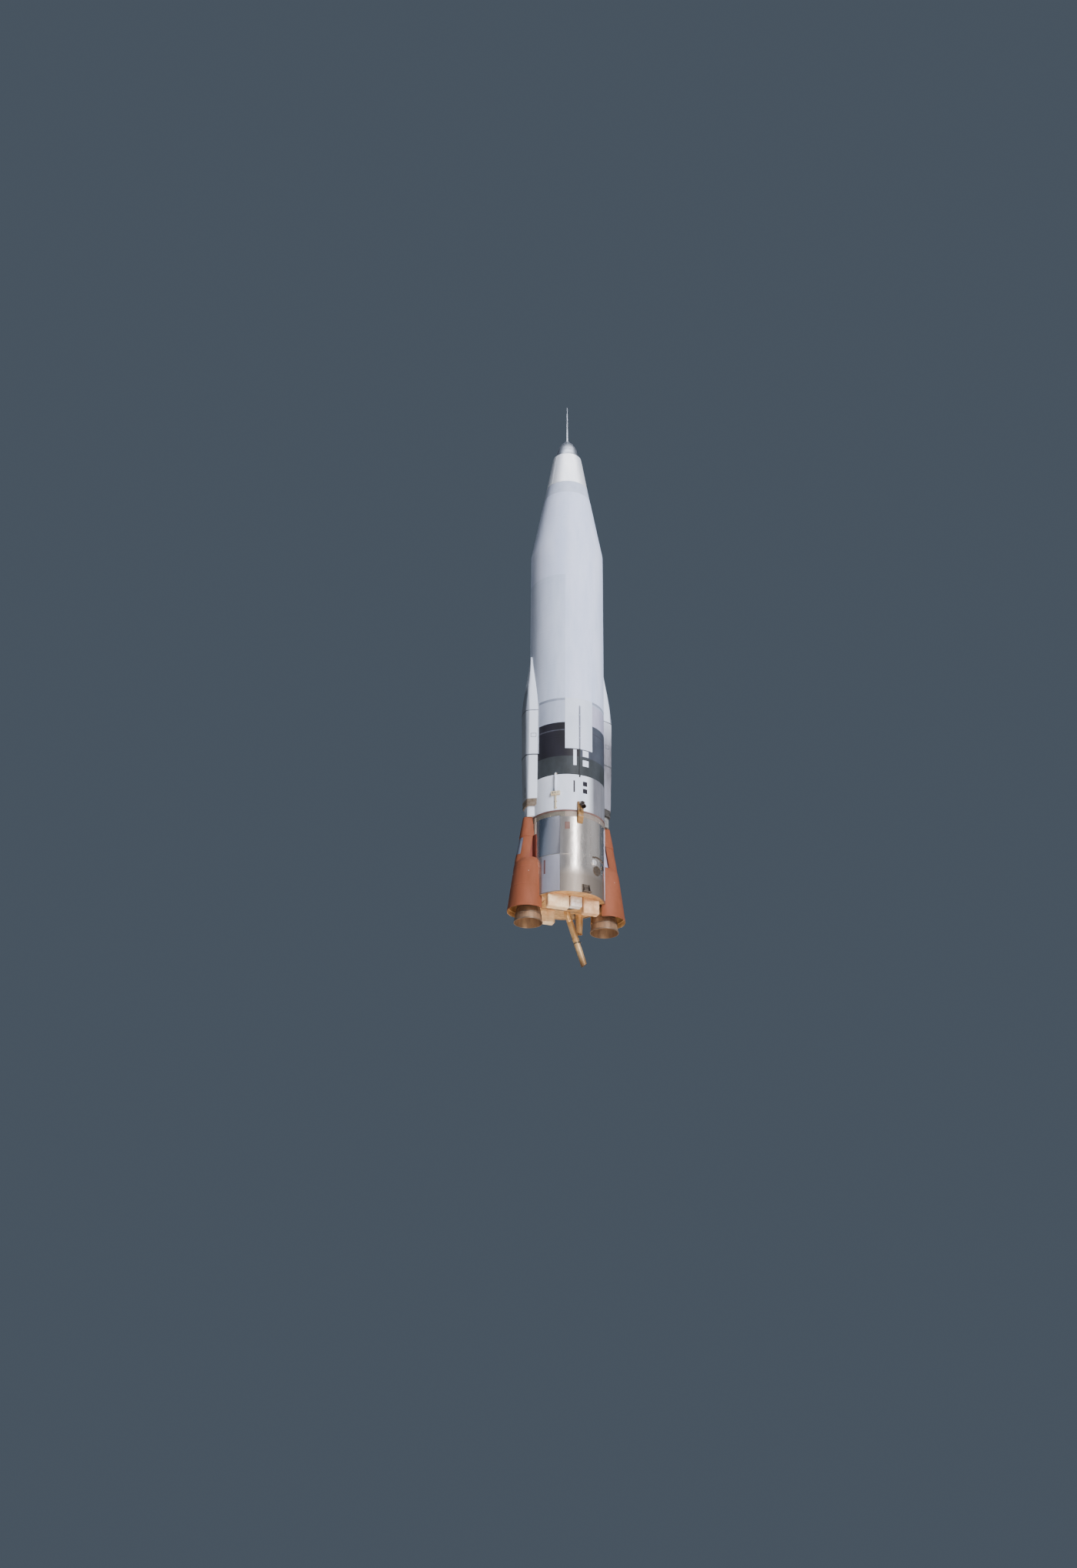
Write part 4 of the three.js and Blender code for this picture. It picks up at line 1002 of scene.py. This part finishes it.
outer_runs = flare_profile(0)
for low, high in FLARE_BANDS:
    outer_runs += [(flare_radius(low), low), (flare_radius(low) + BAND_RISE, low + 0.004),
                   (flare_radius(high) + BAND_RISE, high - 0.004), (flare_radius(high), high)]
outer_runs = sorted({(round(r, 5), round(z, 5)) for r, z in outer_runs if z > FLARE_FOOT}, key=lambda p: p[1])
lining_runs = [point for point in flare_profile(FLARE_WALL) if point[1] > FLARE_FOOT]
for z in LINING_RINGS:
    wall = flare_radius(z) - FLARE_WALL
    lining_runs += [(wall, z - 0.02), (wall - RING_DEEP, z - 0.016), (wall - RING_DEEP, z + 0.016),
                    (wall, z + 0.02)]
lining_runs.sort(key=lambda p: p[1])
rim = [(FOOT_RADIUS - FLARE_WALL, FLARE_FOOT + 0.008), (FOOT_RADIUS - 0.011, FLARE_FOOT + 0.002),
       (FOOT_RADIUS - 0.0075, FLARE_FOOT), (FOOT_RADIUS - 0.004, FLARE_FOOT + 0.002),
       (FOOT_RADIUS, FLARE_FOOT + 0.008)]
flare_section = [(0, FLARE_HEAD - FLARE_WALL), *reversed(lining_runs), *rim, *outer_runs, (0, FLARE_HEAD),
                 (0, FLARE_HEAD - FLARE_WALL)]


def lined(point):
    """Whether a point of the flare's wall lies on its inner face."""
    away = math.hypot(point.x - FLARE_AXIS - FLARE_LEAN * point.z, point.y)
    wall = flare_radius(min(max(point.z, FLARE_FOOT), FLARE_HEAD)) - FLARE_WALL * 0.6
    return away < wall and point.z < FLARE_HEAD - FLARE_WALL * 0.6


for side, turn in SIDES:
    inboard = bmesh.new()
    block(inboard, (0, -1, FLARE_FOOT - 0.1), (FLARE_INBOARD, 1, 0))
    flare_bm = carved(flare_lathe(flare_section, 120), tank_tool(-SKIN_GAP, FLARE_HEAD + 0.1), inboard)
    painted(flare_bm, lined)
    for z, radius, step, paint in SCREWS:
        at = step / 2 - SCREWS_TO
        while at <= SCREWS_TO:
            spoke = around(90 + at, 1, 0)
            foot = Vector((FLARE_AXIS + FLARE_LEAN * z, 0, z)) + spoke * flare_radius(z)
            if foot.xy.length > tank_radius + 0.03:
                rod(flare_bm, foot - spoke * 0.004, foot + spoke * 0.006, radius, 8, radius * 0.6, paint)
            at += step
    finished(f"nacelle_flare_shell_{side}", flare_bm, [red_enamel, gold_cloth, pale_fixing],
             f"nacelle_flare_{side}", turn, 30)

# Neck and spine of a nacelle. The spine's lip overhangs the neck, and both flanks are hollowed
# below it: one hollow and the strip on the barrel beside it are painted dark red as painted shade,
# the other shows bare metal. The left one has a grey cover on its outer face. Strips seal the joint
# with the barrel.
FAIRING_ROOT = 1.404
SPINE_HEAD = 3.52
LIP_FOOT = 2.62
COVER_FOOT, COVER_HEAD = 1.84, 2.58
COVER_EDGE = 0.22
FLANK_TO = 1.7                          # the flanks end and the outer face begins at this x
HOLLOW_INNER, HOLLOW_OUTER = 0.235, 0.5
# Levels of a shape that is drawn up. Columns: height, reach from the rocket's axis, half width.
NECK_LEVELS = [(FLARE_SHOULDER, 2.165, 0.400), (1.58, 2.160, 0.350), (COVER_FOOT, 2.112, 0.350),
               (COVER_HEAD, 1.975, 0.350), (LIP_FOOT + 0.01, 1.966, 0.350)]
SPINE_LEVELS = [(LIP_FOOT, 1.972, 0.356), (LIP_FOOT + 0.006, 1.979, 0.363), (LIP_FOOT + 0.016, 1.981, 0.364),
                (2.9, 1.938, 0.316), (SPINE_HEAD - 0.02, 1.843, 0.208), (SPINE_HEAD - 0.006, 1.838, 0.204),
                (SPINE_HEAD, 1.833, 0.199)]
HOLLOW = [(1.45, 1.74), (1.69, 1.74), (1.536, LIP_FOOT + 0.04), (1.45, LIP_FOOT + 0.04)]
# Strips on the barrel beside a spine. Columns: degrees from, degrees to, height from, to, paint.
ROOT_STRIPS = [(71.3, 81.2, 1.72, LIP_FOOT + 0.04, 3), (98.8, 108.7, 1.72, LIP_FOOT + 0.04, 1),
               (72.5, 77.5, LIP_FOOT + 0.05, 3.38, 3), (102.5, 107.5, LIP_FOOT + 0.05, 3.38, 4)]

grey_cover = surface("grey_enamel_cover", "#767a88", "#626674", 0.3, 0.5, stretch=2.0)
bare_lilac = surface("bare_lilac_steel", "#b9b4c4", "#9f9aab", 0.3, 0.45, metallic=0.3, stretch=3.0)
beige_strip = surface("beige_sealing_strip", "#bfae9f", "#a39484", 0.2, 0.6)


def half_round(squareness, steps, spread=0.0):
    """Half of a rounded outline as shares of depth and half width; 2 gives a half ellipse.

    The sides spread toward the tank, where the outline is wider by the share spread.
    """
    outline = []
    for i in range(steps + 1):
        turn = math.pi * (i / steps - 0.5)
        depth = 0.0 if i in (0, steps) else abs(math.cos(turn)) ** (2 / squareness)
        width = math.copysign(abs(math.sin(turn)) ** (2 / squareness), turn)
        outline.append((depth, width * (1 + spread * (1 - depth))))
    return outline


def vertices(geometry):
    return [g for g in geometry if isinstance(g, bmesh.types.BMVert)]


def drawn_up(outline, levels, root=FAIRING_ROOT, material=0):
    """Draws a half outline up through levels of (height, reach, half width) and closes it."""
    bm = bmesh.new()
    height, reach, half = levels[0]
    ring = [bm.verts.new((root + depth * (reach - root), width * half, height)) for depth, width in outline]
    edges = [bm.edges.new(pair) for pair in zip(ring, ring[1:] + ring[:1])]
    for (z0, reach0, half0), (z1, reach1, half1) in zip(levels, levels[1:]):
        made = bmesh.ops.extrude_edge_only(bm, edges=edges)["geom"]
        ring = vertices(made)
        edges = [g for g in made if isinstance(g, bmesh.types.BMEdge) and set(g.verts) <= set(ring)]
        bmesh.ops.scale(bm, verts=ring, vec=((reach1 - root) / (reach0 - root), half1 / half0, 1),
                        space=Matrix.Translation((-root, 0, 0)))
        bmesh.ops.translate(bm, verts=ring, vec=(0, 0, z1 - z0))
    bmesh.ops.holes_fill(bm, edges=bm.edges, sides=0)
    bmesh.ops.recalc_face_normals(bm, faces=bm.faces)
    painted(bm, lambda point: material)
    return bm


def slab(bm, outline, y0, y1, bevel=0.0, material=0):
    """Adds an outline of (x, z) points drawn across Y between two planes, with rounded edges."""
    face = bm.faces.new([bm.verts.new((x, y0, z)) for x, z in outline])
    moved = vertices(bmesh.ops.extrude_face_region(bm, geom=[face])["geom"])
    bmesh.ops.translate(bm, verts=moved, vec=(0, y1 - y0, 0))
    verts = set(moved) | set(face.verts)
    bmesh.ops.recalc_face_normals(bm, faces=list({f for v in verts for f in v.link_faces}))
    shell_done(bm, verts, material, bevel)


def flank_hollows():
    """The two closed shapes that hollow a nacelle's flanks."""
    tools = [bmesh.new(), bmesh.new()]
    slab(tools[0], HOLLOW, HOLLOW_INNER, HOLLOW_OUTER)
    slab(tools[1], HOLLOW, -HOLLOW_OUTER, -HOLLOW_INNER)
    return tools


def carved_by_hollow(face):
    """Whether a face is one of the flat walls that a hollow's cut leaves."""
    middle = face.calc_center_median()
    within = (abs(middle.y) > HOLLOW_INNER - 0.001 and middle.x < FLANK_TO
              and HOLLOW[0][1] - 0.01 < middle.z < HOLLOW[2][1] + 0.01)
    on_back = abs(abs(middle.y) - HOLLOW_INNER) < 0.002 and abs(face.normal.y) > 0.99
    return within and (on_back or abs(face.normal.y) < 0.01)


spine_outline = half_round(2.4, 48)
for side, turn in SIDES:
    flare_form = flare_lathe([(0, FLARE_FOOT), *flare_profile(0), (0, FLARE_HEAD)], 96)
    neck_bm = carved(drawn_up(spine_outline, NECK_LEVELS), *flank_hollows(), flare_form, tank_tool(1, 4))
    add(neck_bm, carved(drawn_up(spine_outline, SPINE_LEVELS), *flank_hollows(), tank_tool(1, 4)))
    cover = []
    for face in neck_bm.faces:
        middle = face.calc_center_median()
        if carved_by_hollow(face):
            slanted = abs(face.normal.y) < 0.5
            face.material_index = 1 if middle.y > 0 else 0 if slanted else 3
        elif COVER_FOOT < middle.z < COVER_HEAD and middle.y < COVER_EDGE and middle.x > FLANK_TO:
            cover.append(face)
    if side == "left":
        bmesh.ops.inset_region(neck_bm, faces=cover, thickness=0.008, depth=-0.006, use_even_offset=True)
        for face in cover:
            face.material_index = 2
    for start, end, low, high, paint in ROOT_STRIPS:
        curved_plate(neck_bm, PLATE_GAP, PLATE_RISE, start, end, low, high, 0.003, paint)
    finished(f"nacelle_spine_shell_{side}", neck_bm,
             [red_enamel, dark_red_painted_shade, grey_cover, bare_lilac, beige_strip], f"nacelle_spine_{side}",
             turn, 30)

# Equipment pods. Long white boxes with rounded sides above the nacelles, for the guidance and
# telemetry sets, each on a collar and a clamp. Dark rings join the lengths and the nose thins into
# the tank. Their outer faces are painted grey as painted shade, and exhaust has stained the right one.
POD_JOINTS = (6.19, 8.22)
POD_RING_HALF = 0.028
POD_RING_RISE = 0.008
POD_BODY_HEAD = 8.2197
POD_TIP, TIP_REACH, TIP_HALF = 10.9, 1.59, 0.02
TIP_FULLNESS = 1.7                      # 1 would thin the nose's width in a straight line
POD_SQUARENESS = 6.0                    # of the pod's outline; 2 would be half an ellipse
POD_SPREAD = 0.55                       # how much wider a pod is at the tank
COLLAR_LEVELS = [(3.5203, 1.750, 0.240), (3.6, 1.750, 0.240), (3.97, 1.750, 0.240)]
CLAMP_LEVELS = [(3.96, 1.796, 0.306), (3.966, 1.802, 0.312), (4.07, 1.804, 0.317), (4.08, 1.796, 0.311),
                (4.12, 1.797, 0.313), (4.13, 1.805, 0.320), (4.2397, 1.808, 0.326)]
BODY_LEVELS = [(4.24, 1.808, 0.334), (4.246, 1.812, 0.338), (5.2, 1.837, 0.340), (6.19, 1.862, 0.342),
               (7.2, 1.872, 0.3435), (POD_BODY_HEAD, 1.882, 0.345)]
# Lines of the hatch on a pod's flank. Columns: x from, x to, height from, height to, pieces.
HATCH_LINES = [(1.49, 1.70, 6.98, 6.995, 6), (1.49, 1.70, 7.135, 7.15, 6), (1.685, 1.70, 6.995, 7.135, 1),
               (1.49, 1.505, 6.995, 7.135, 1)]
HATCH_PROUD = 0.004
VENTS = ((4.32, 4.44), (4.56, 4.78))

# White, with the outer face painted grey from 1.735 m out: painted shade on the side turned from the light.
pod_white_painted_shade = graded(surface("white_pod_enamel_painted_shade", "#90969e", "#81878f", 0.9, 0.4, stretch=3.0,
                           grain=0.02, relief=0.0003), "X", 1.735, 1.785, "#e0e5ed")
stained_white = graded(surface("exhaust_stained_enamel", "#8a898f", "#666366", 0.45, 0.5, stretch=3.0,
                               grain=0.03, relief=0.0005), "Z", 8.3, 7.1, "#c8cbd2")
sooty_white = surface("sooted_collar_enamel", "#8b8a86", "#6b6a64", 0.2, 0.6, grain=0.02, relief=0.0005)
joint_grey = surface("dark_joint_ring", "#6f7275", "#55585b", 0.1, 0.5, metallic=0.4)
clamp_olive = surface("olive_clamp_enamel", "#86796a", "#66594b", 0.12, 0.5, metallic=0.2)
sooty_clamp = surface("sooted_clamp_enamel", "#4c4a46", "#353330", 0.12, 0.6)


def nose_level(share):
    """Height, reach and half width of the pod's nose at a share of its length."""
    reach, half = BODY_LEVELS[-1][1:]
    fall = (1 - share + (1 + math.cos(math.pi * share)) / 2) / 2
    return (POD_JOINTS[1] + (POD_TIP - POD_JOINTS[1]) * share, TIP_REACH + (reach - TIP_REACH) * fall,
            TIP_HALF + (half - TIP_HALF) * (1 - share ** TIP_FULLNESS))


def pod_size(height):
    """Reach and half width of a pod's body at a height."""
    for (z0, reach0, half0), (z1, reach1, half1) in zip(BODY_LEVELS, BODY_LEVELS[1:]):
        if z0 <= height <= z1 + 0.05:
            return between(height, z0, z1, reach0, reach1), between(height, z0, z1, half0, half1)


def flank_at(x, height):
    """Where a pod's flank lies across Y at a distance from the rocket's axis."""
    reach, half = pod_size(height)
    depth = (x - FAIRING_ROOT) / (reach - FAIRING_ROOT)
    return half * (1 - depth ** POD_SQUARENESS) ** (1 / POD_SQUARENESS) * (1 + POD_SPREAD * (1 - depth))


pod_outline = half_round(POD_SQUARENESS, 48, POD_SPREAD)


def pod_part(levels, low, high, material=0):
    """A length of a pod, hollowed to the tank's skin between two heights."""
    return carved(drawn_up(pod_outline, levels, material=material), tank_tool(low, high))


for side, turn in SIDES:
    body_paint = pod_white_painted_shade if side == "left" else stained_white
    base_paints = [pod_white_painted_shade, clamp_olive] if side == "left" else [sooty_white, sooty_clamp]
    collar_bm = carved(drawn_up(pod_outline, COLLAR_LEVELS),
                       tank_tool(3.4, ring_head.z + SKIN_GAP, ring_radius), tank_tool(3, 5))
    add(collar_bm, pod_part(CLAMP_LEVELS, 3, 5, 1))
    finished(f"pod_collar_{side}", collar_bm, base_paints, f"pod_base_{side}", turn, 30)

    body_bm = pod_part(BODY_LEVELS, 4, 9)
    for joint in POD_JOINTS:
        low, high = joint - POD_RING_HALF, min(joint + POD_RING_HALF, POD_BODY_HEAD)
        reach, half = pod_size(joint)
        add(body_bm, pod_part([(low, reach, half), (low + 0.006, reach + POD_RING_RISE, half + POD_RING_RISE),
                               (high - 0.004, reach + POD_RING_RISE, half + POD_RING_RISE),
                               (high, reach, half)], 4, 9, 1))
    # A hatch outlined on the pod's flank, and two dark vents at its outer edge.
    for x0, x1, z0, z1, pieces in HATCH_LINES:
        stops = spaced(x0, x1, pieces)
        for flank in (1, -1):
            for ends in zip(stops, stops[1:]):
                spots = [(x, flank * (flank_at(x, z0) + proud))
                         for x in ends for proud in (HATCH_PROUD, -HATCH_PROUD)]
                corners = [body_bm.verts.new((*spot, z)) for z in (z0, z1) for spot in spots]
                bmesh.ops.convex_hull(body_bm, input=corners)
                shell_done(body_bm, corners, 1, 0)
    for z0, z1 in VENTS:
        block(body_bm, (1.82, 0.12, z0), (pod_size(z0)[0] + 0.006, 0.22, z1), 0.004, 1, 1)
    finished(f"pod_body_shell_{side}", body_bm, [body_paint, joint_grey],
             f"pod_body_{side}", turn, 30)

    finished(f"pod_nose_shell_{side}", pod_part([nose_level(i / 24) for i in range(25)], 8, 12),
             [pod_white_painted_shade], f"pod_nose_{side}", turn, 30)

# Conduits. A narrow rounded channel down the front and the rear of the fuel tank, over the
# cables, with straps and sloping ends. Above the black band it is mid grey, the shade along its
# side put in as painted shade, with pale straps; below, it wears the tank's black.
CONDUIT_ROOT = 1.484
CONDUIT_HALF = 0.03
CONDUIT_LEVELS = [(4.93, 1.528, CONDUIT_HALF), (5.0, 1.566, CONDUIT_HALF), (8.09, 1.566, CONDUIT_HALF),
                  (8.16, 1.528, CONDUIT_HALF)]
STRAPS_FROM, STRAP_PITCH, STRAP_COUNT = 5.1, 0.52, 6
STRAP_WIDTH = 0.03

# Mid grey: painted shade along the channel's side.
conduit_painted_shade = surface("conduit_enamel_painted_shade", "#9799a3", "#82848e", 0.4, 0.5, stretch=4.0)
conduit_outline = half_round(6, 24)
for face_name, turn in FACES:
    conduit_bm = drawn_up(conduit_outline, CONDUIT_LEVELS, CONDUIT_ROOT)
    for i in range(STRAP_COUNT):
        low = STRAPS_FROM + STRAP_PITCH * i
        high = low + STRAP_WIDTH
        add(conduit_bm, drawn_up(conduit_outline, [(z, 1.570, CONDUIT_HALF + 0.004) for z in (low, high)],
                                 CONDUIT_ROOT, 1))
        block(conduit_bm, (tank_radius - 0.01, -0.06, low), (tank_radius + 0.004, 0.06, high), 0.001, 1, 1)
    cut_through(conduit_bm, (0, 0, BLACK_BAND_TOP), (0, 0, 1))
    for face in conduit_bm.faces:
        if face.calc_center_median().z < BLACK_BAND_TOP:
            face.material_index = 2
    finished(f"conduit_channel_{face_name}", conduit_bm,
             [conduit_painted_shade, tank_paints[GREY], tank_paints[SHEEN_FOOT]], f"conduit_{face_name}", turn - 90, 30)

# Service fitting. A thin fin over a small box on a narrow leg, at the front left: a plug for
# the ground's cables. Cream and white enamel, bolted through small feet.
FITTING_ANGLE = -36.5
FIN_HALF = 0.015
FIN = [(1.515, 4.29), (1.606, 4.29), (1.64, 4.40), (1.64, 5.01), (1.54, 5.13), (1.515, 5.13)]
cream_enamel = surface("cream_enamel", "#dccdae", "#c3b291", 0.15, 0.5, grain=0.01, relief=0.0003)


def heads(bm, start, end, across, heights, radius, sides=6, tip=None, material=0):
    """Adds round heads in a grid across Y and up Z, that stand out along X from start to end."""
    for z in heights:
        for y in across:
            rod(bm, (start, y, z), (end, y, z), radius, sides, tip, material)


fitting_bm = bmesh.new()
slab(fitting_bm, FIN, -FIN_HALF, FIN_HALF, 0.004, 1)
block(fitting_bm, (1.5, -0.19, 4.13), (1.606, 0.19, 4.29), 0.018, 3)
heads(fitting_bm, 1.6, 1.606, (-0.1, 0.0, 0.1), [4.21], 0.034, 24, 0.03, 2)
block(fitting_bm, (1.515, -0.03, ring_head.z + 0.06), (1.572, 0.03, 4.14), 0.008, 2)
for z in (ring_head.z + 0.07, 3.82, 5.04):
    block(fitting_bm, (1.52, -0.06, z), (1.53, 0.06, z + 0.06), 0.002, 1)
    heads(fitting_bm, 1.528, 1.536, (-0.045, 0.045), [z + 0.03], 0.009, material=2)
finished("service_fitting_plug", fitting_bm, [cream_enamel, tank_paints[WHITE], joint_grey],
         "service_fitting", FITTING_ANGLE - 90)

# Service disc and port. A bright turned cap on a coupling, the open mouth of a dark vent, a second
# and smaller cap, and a dark curved guard riveted over them, low on the barrel's right front.
COUPLING_ROOT = 1.50                    # inside the skin, from the rocket's axis
DISC_ANGLE, DISC_HEIGHT, DISC_RADIUS = 24.6, 1.38, 0.12
PORT_ANGLE, PORT_HEIGHT, PORT_RADIUS, PORT_HOLE = 31, 1.07, 0.2, 0.165
SIDE_CAP_ANGLE, SIDE_CAP_HEIGHT, SIDE_CAP_RADIUS = 46, 1.33, 0.085
GUARD_RISE = 0.035

turned_aluminium = surface("turned_aluminium", "#f7f6f4", "#dcd9d6", 0.06, 0.35, metallic=0.6, spread=0.04)
sooty_steel = surface("sooty_steel", "#6c6054", "#4a4138", 0.08, 0.6, metallic=0.4, grain=0.01, relief=0.0005)


def set_on_skin(bm, height):
    """Lays a shape that was turned about Z on its side, pointing out of the skin."""
    bmesh.ops.rotate(bm, verts=bm.verts, cent=(0, 0, 0), matrix=Matrix.Rotation(math.pi / 2, 3, "Y"))
    bmesh.ops.translate(bm, verts=bm.verts, vec=(0, 0, height))


disc_bm = lathe([(0, COUPLING_ROOT), (DISC_RADIUS, COUPLING_ROOT), (DISC_RADIUS, 1.552),
                 (DISC_RADIUS - 0.008, 1.562), (DISC_RADIUS - 0.016, 1.562), (DISC_RADIUS - 0.022, 1.554),
                 (0.06, 1.557), (0.045, 1.565), (0.03, 1.571), (0, 1.572)], 64)
bolt_ring(disc_bm, 8, (0.082, 0, 1.55), (0.082, 0, 1.562), 0.008)
set_on_skin(disc_bm, DISC_HEIGHT)
finished("service_disc_cap", disc_bm, [turned_aluminium], "service_disc", DISC_ANGLE - 90)

port_bm = lathe([(0, COUPLING_ROOT), (PORT_RADIUS, COUPLING_ROOT), (PORT_RADIUS, 1.546),
                 (PORT_RADIUS - 0.006, 1.557), (PORT_RADIUS - 0.014, 1.56), (PORT_HOLE + 0.006, 1.56),
                 (PORT_HOLE, 1.554), (PORT_HOLE, 1.532), (0.02, 1.532), (0.015, 1.54), (0, 1.541)], 48)
for i in range(4):
    spoke = block(port_bm, (0.005, -0.004, 1.531), (PORT_HOLE + 0.002, 0.004, 1.54))
    about_axis(port_bm, spoke, 90 * i)
set_on_skin(port_bm, PORT_HEIGHT)
finished("service_port_mouth", port_bm, [sooty_steel], "service_port", PORT_ANGLE - 90)

side_cap_bm = lathe([(0, COUPLING_ROOT), (SIDE_CAP_RADIUS, COUPLING_ROOT), (SIDE_CAP_RADIUS, 1.545),
                     (SIDE_CAP_RADIUS - 0.007, 1.552), (0.03, 1.552), (0.02, 1.56), (0, 1.562)], 48)
set_on_skin(side_cap_bm, SIDE_CAP_HEIGHT)
finished("service_side_cap", side_cap_bm, [strap_steel], turn=SIDE_CAP_ANGLE - 90)
guard_bm = bmesh.new()
for start, end, low, high in ((27, 42, 1.62, 1.66), (42, 50, 1.58, 1.62), (22, 27, 1.58, 1.62)):
    curved_plate(guard_bm, PLATE_GAP, GUARD_RISE, start, end, low, high, 0.004)
finished("service_guard", guard_bm, [sooty_steel])

# Launch fittings. The ground's arms hold the rocket by these two feet: a machined foot with a
# flat underside and a bolt hole's boss, between two gussets riveted to the barrel.
LAUNCH_ANGLE = 10
FOOT_HALF = 0.18
GUSSET = [(1.515, 0.025), (1.66, 0.025), (1.66, 0.05), (1.575, 0.31), (1.56, 0.33), (1.515, 0.34)]
BOSS_X = 1.61
for face_name, turn in FACES:
    foot_bm = bmesh.new()
    block(foot_bm, (1.5, -FOOT_HALF, 0), (1.68, FOOT_HALF, 0.03), 0.004)
    for y0, y1 in ((0.11, 0.135), (-0.135, -0.11)):
        slab(foot_bm, GUSSET, y0, y1, 0.004)
    block(foot_bm, (1.50, -FOOT_HALF, 0.02), (1.532, FOOT_HALF, 0.34), 0.003)
    heads(foot_bm, 1.53, 1.54, (-0.16, -0.08, 0.0, 0.08, 0.16), (0.1, 0.18, 0.26, 0.32), 0.009)
    rod(foot_bm, (BOSS_X, 0, 0.028), (BOSS_X, 0, 0.06), 0.036, 32, 0.032)
    rod(foot_bm, (BOSS_X, 0, 0.055), (BOSS_X, 0, 0.075), 0.022, 6)
    finished(f"launch_foot_{face_name}", foot_bm, [sooty_steel],
             f"launch_fitting_{face_name}", LAUNCH_ANGLE - 90 + turn)

# Steering engines. A small engine at the front and the rear trims the rocket's heading. Its
# housing wears a scorched cloth cover; the forked yoke turns about a shaft that points away from
# the tank, and the chamber swings between the fork's arms on two pins.
SMALL_HEIGHT = 3.7
SMALL_X = 1.82
SMALL_CANT = 30
HOUSING = [(1.515, 2.90), (1.545, 2.92), (1.66, 3.15), (1.66, 3.79), (1.61, 3.83), (1.515, 3.83)]
ARM_NEAR, ARM_FAR, ARM_HALF = 0.07, 0.095, 0.045
HOUSING_HALF, STRAP_HALF = 0.12, 0.124
HOUSING_STRAPS = (3.2, 3.45)
YOKE_BACK, YOKE_FACE = 1.699, 1.736
YOKE_BOLTS_AT = 0.06
SHAFT_RADIUS, FLANGE_RADIUS, PIN_RADIUS = 0.03, 0.075, 0.026
SMALL_BELL = [(0.100, -0.290), (0.094, -0.270), (0.089, -0.25), (0.078, -0.215), (0.055, -0.180),
              (0.036, -0.160), (0.032, -0.150), (0.036, -0.138), (0.055, -0.105), (0.055, 0.02), (0.05, 0.03)]
SMALL_WALL = 0.006
# Hoops around the small chamber. Columns: height, radius, rise.
HOOPS = [(-0.283, 0.098, 0.004), (-0.215, 0.079, 0.004), (-0.09, 0.055, 0.007), (0.005, 0.055, 0.006)]
# Round bosses and pins across the small chamber, both ways. Columns: y from, y to, radius.
PINS = [(0.048, ARM_NEAR - 0.004, 0.022), (0.05, ARM_FAR, 0.016)]

scorched_cover = surface("scorched_cover_cloth", "#b58a54", "#7d5c36", 0.18, 0.5, metallic=0.3, spread=0.1,
                         grain=0.04, relief=0.006)
machined_steel = surface("machined_steel", "#9a9793", "#7d7a76", 0.1, 0.32, metallic=1.0)
small_bell_steel = surface("burnt_bell_steel", "#6d6059", "#463e3a", 0.08, 0.4, metallic=1.0, grain=0.01,
                           relief=0.0003)
yoke_low, yoke_high = SMALL_HEIGHT - ARM_HALF, SMALL_HEIGHT + ARM_HALF
arm = [(1.73, yoke_low), *arc((SMALL_X - 0.005, SMALL_HEIGHT), ARM_HALF, -90, 90, 10), (1.73, yoke_high)]
small_inner = [(max(r - SMALL_WALL, 0.02), z) for r, z in SMALL_BELL[:-2]]
for face_name, turn in FACES:
    housing_bm = bmesh.new()
    slab(housing_bm, HOUSING, -HOUSING_HALF, HOUSING_HALF, 0.02)
    for z in HOUSING_STRAPS:
        block(housing_bm, (1.52, -STRAP_HALF, z), (1.663, STRAP_HALF, z + STRAP_WIDTH), 0.004, 1, 1)
    heads(housing_bm, 1.655, 1.664, (-0.09, 0.09), (3.3, 3.56, 3.76), 0.01, material=1)
    finished(f"steering_housing_{face_name}", housing_bm, [scorched_cover, machined_steel],
             f"vernier_housing_{face_name}", turn - 90, 40)

    yoke_bm = bmesh.new()
    heads(yoke_bm, 1.64, 1.68, [0], [SMALL_HEIGHT], SHAFT_RADIUS, 48)
    heads(yoke_bm, 1.666, 1.70, [0], [SMALL_HEIGHT], FLANGE_RADIUS, 64)
    block(yoke_bm, (YOKE_BACK, -ARM_FAR, yoke_low), (YOKE_FACE, ARM_FAR, yoke_high), 0.006)
    for y0, y1 in ((ARM_NEAR, ARM_FAR), (-ARM_FAR, -ARM_NEAR)):
        slab(yoke_bm, arm, y0, y1, 0.003)
        boss = math.copysign(ARM_FAR, y0 + y1)
        rod(yoke_bm, (SMALL_X, boss, SMALL_HEIGHT), (SMALL_X, boss * 1.05, SMALL_HEIGHT), PIN_RADIUS)
    for y, z in arc((0, SMALL_HEIGHT), YOKE_BOLTS_AT, 30, 330, 5):
        heads(yoke_bm, 1.695, 1.704, [y], [z], 0.007)
    finished(f"steering_yoke_{face_name}", yoke_bm, [machined_steel],
             f"vernier_yoke_{face_name}", turn - 90, body=f"yoke_{face_name}")

    small_bm = lathe([*SMALL_BELL, (0, 0.03), (0, -0.09), *reversed(small_inner), SMALL_BELL[0]], 64)
    for height, radius, rise in HOOPS:
        low, high = height - 0.006, height + 0.006
        add(small_bm, tube([(radius + rise, low), (radius + rise, high)],
                           [(radius - 0.004, low), (radius - 0.004, high)], 64))
    for start, end, radius in PINS:
        rod(small_bm, (0, start, 0), (0, end, 0), radius)
        rod(small_bm, (0, -end, 0), (0, -start, 0), radius)
    rod(small_bm, (0, 0, 0.028), (0, 0, 0.05), 0.02)
    bmesh.ops.rotate(small_bm, verts=small_bm.verts, cent=(0, 0, 0),
                     matrix=Matrix.Rotation(math.radians(-SMALL_CANT), 3, "Y"))
    bmesh.ops.translate(small_bm, verts=small_bm.verts, vec=(SMALL_X, 0, SMALL_HEIGHT))
    finished(f"steering_chamber_{face_name}", small_bm, [small_bell_steel],
             f"vernier_chamber_{face_name}", turn - 90, body=f"steering_engine_{face_name}")
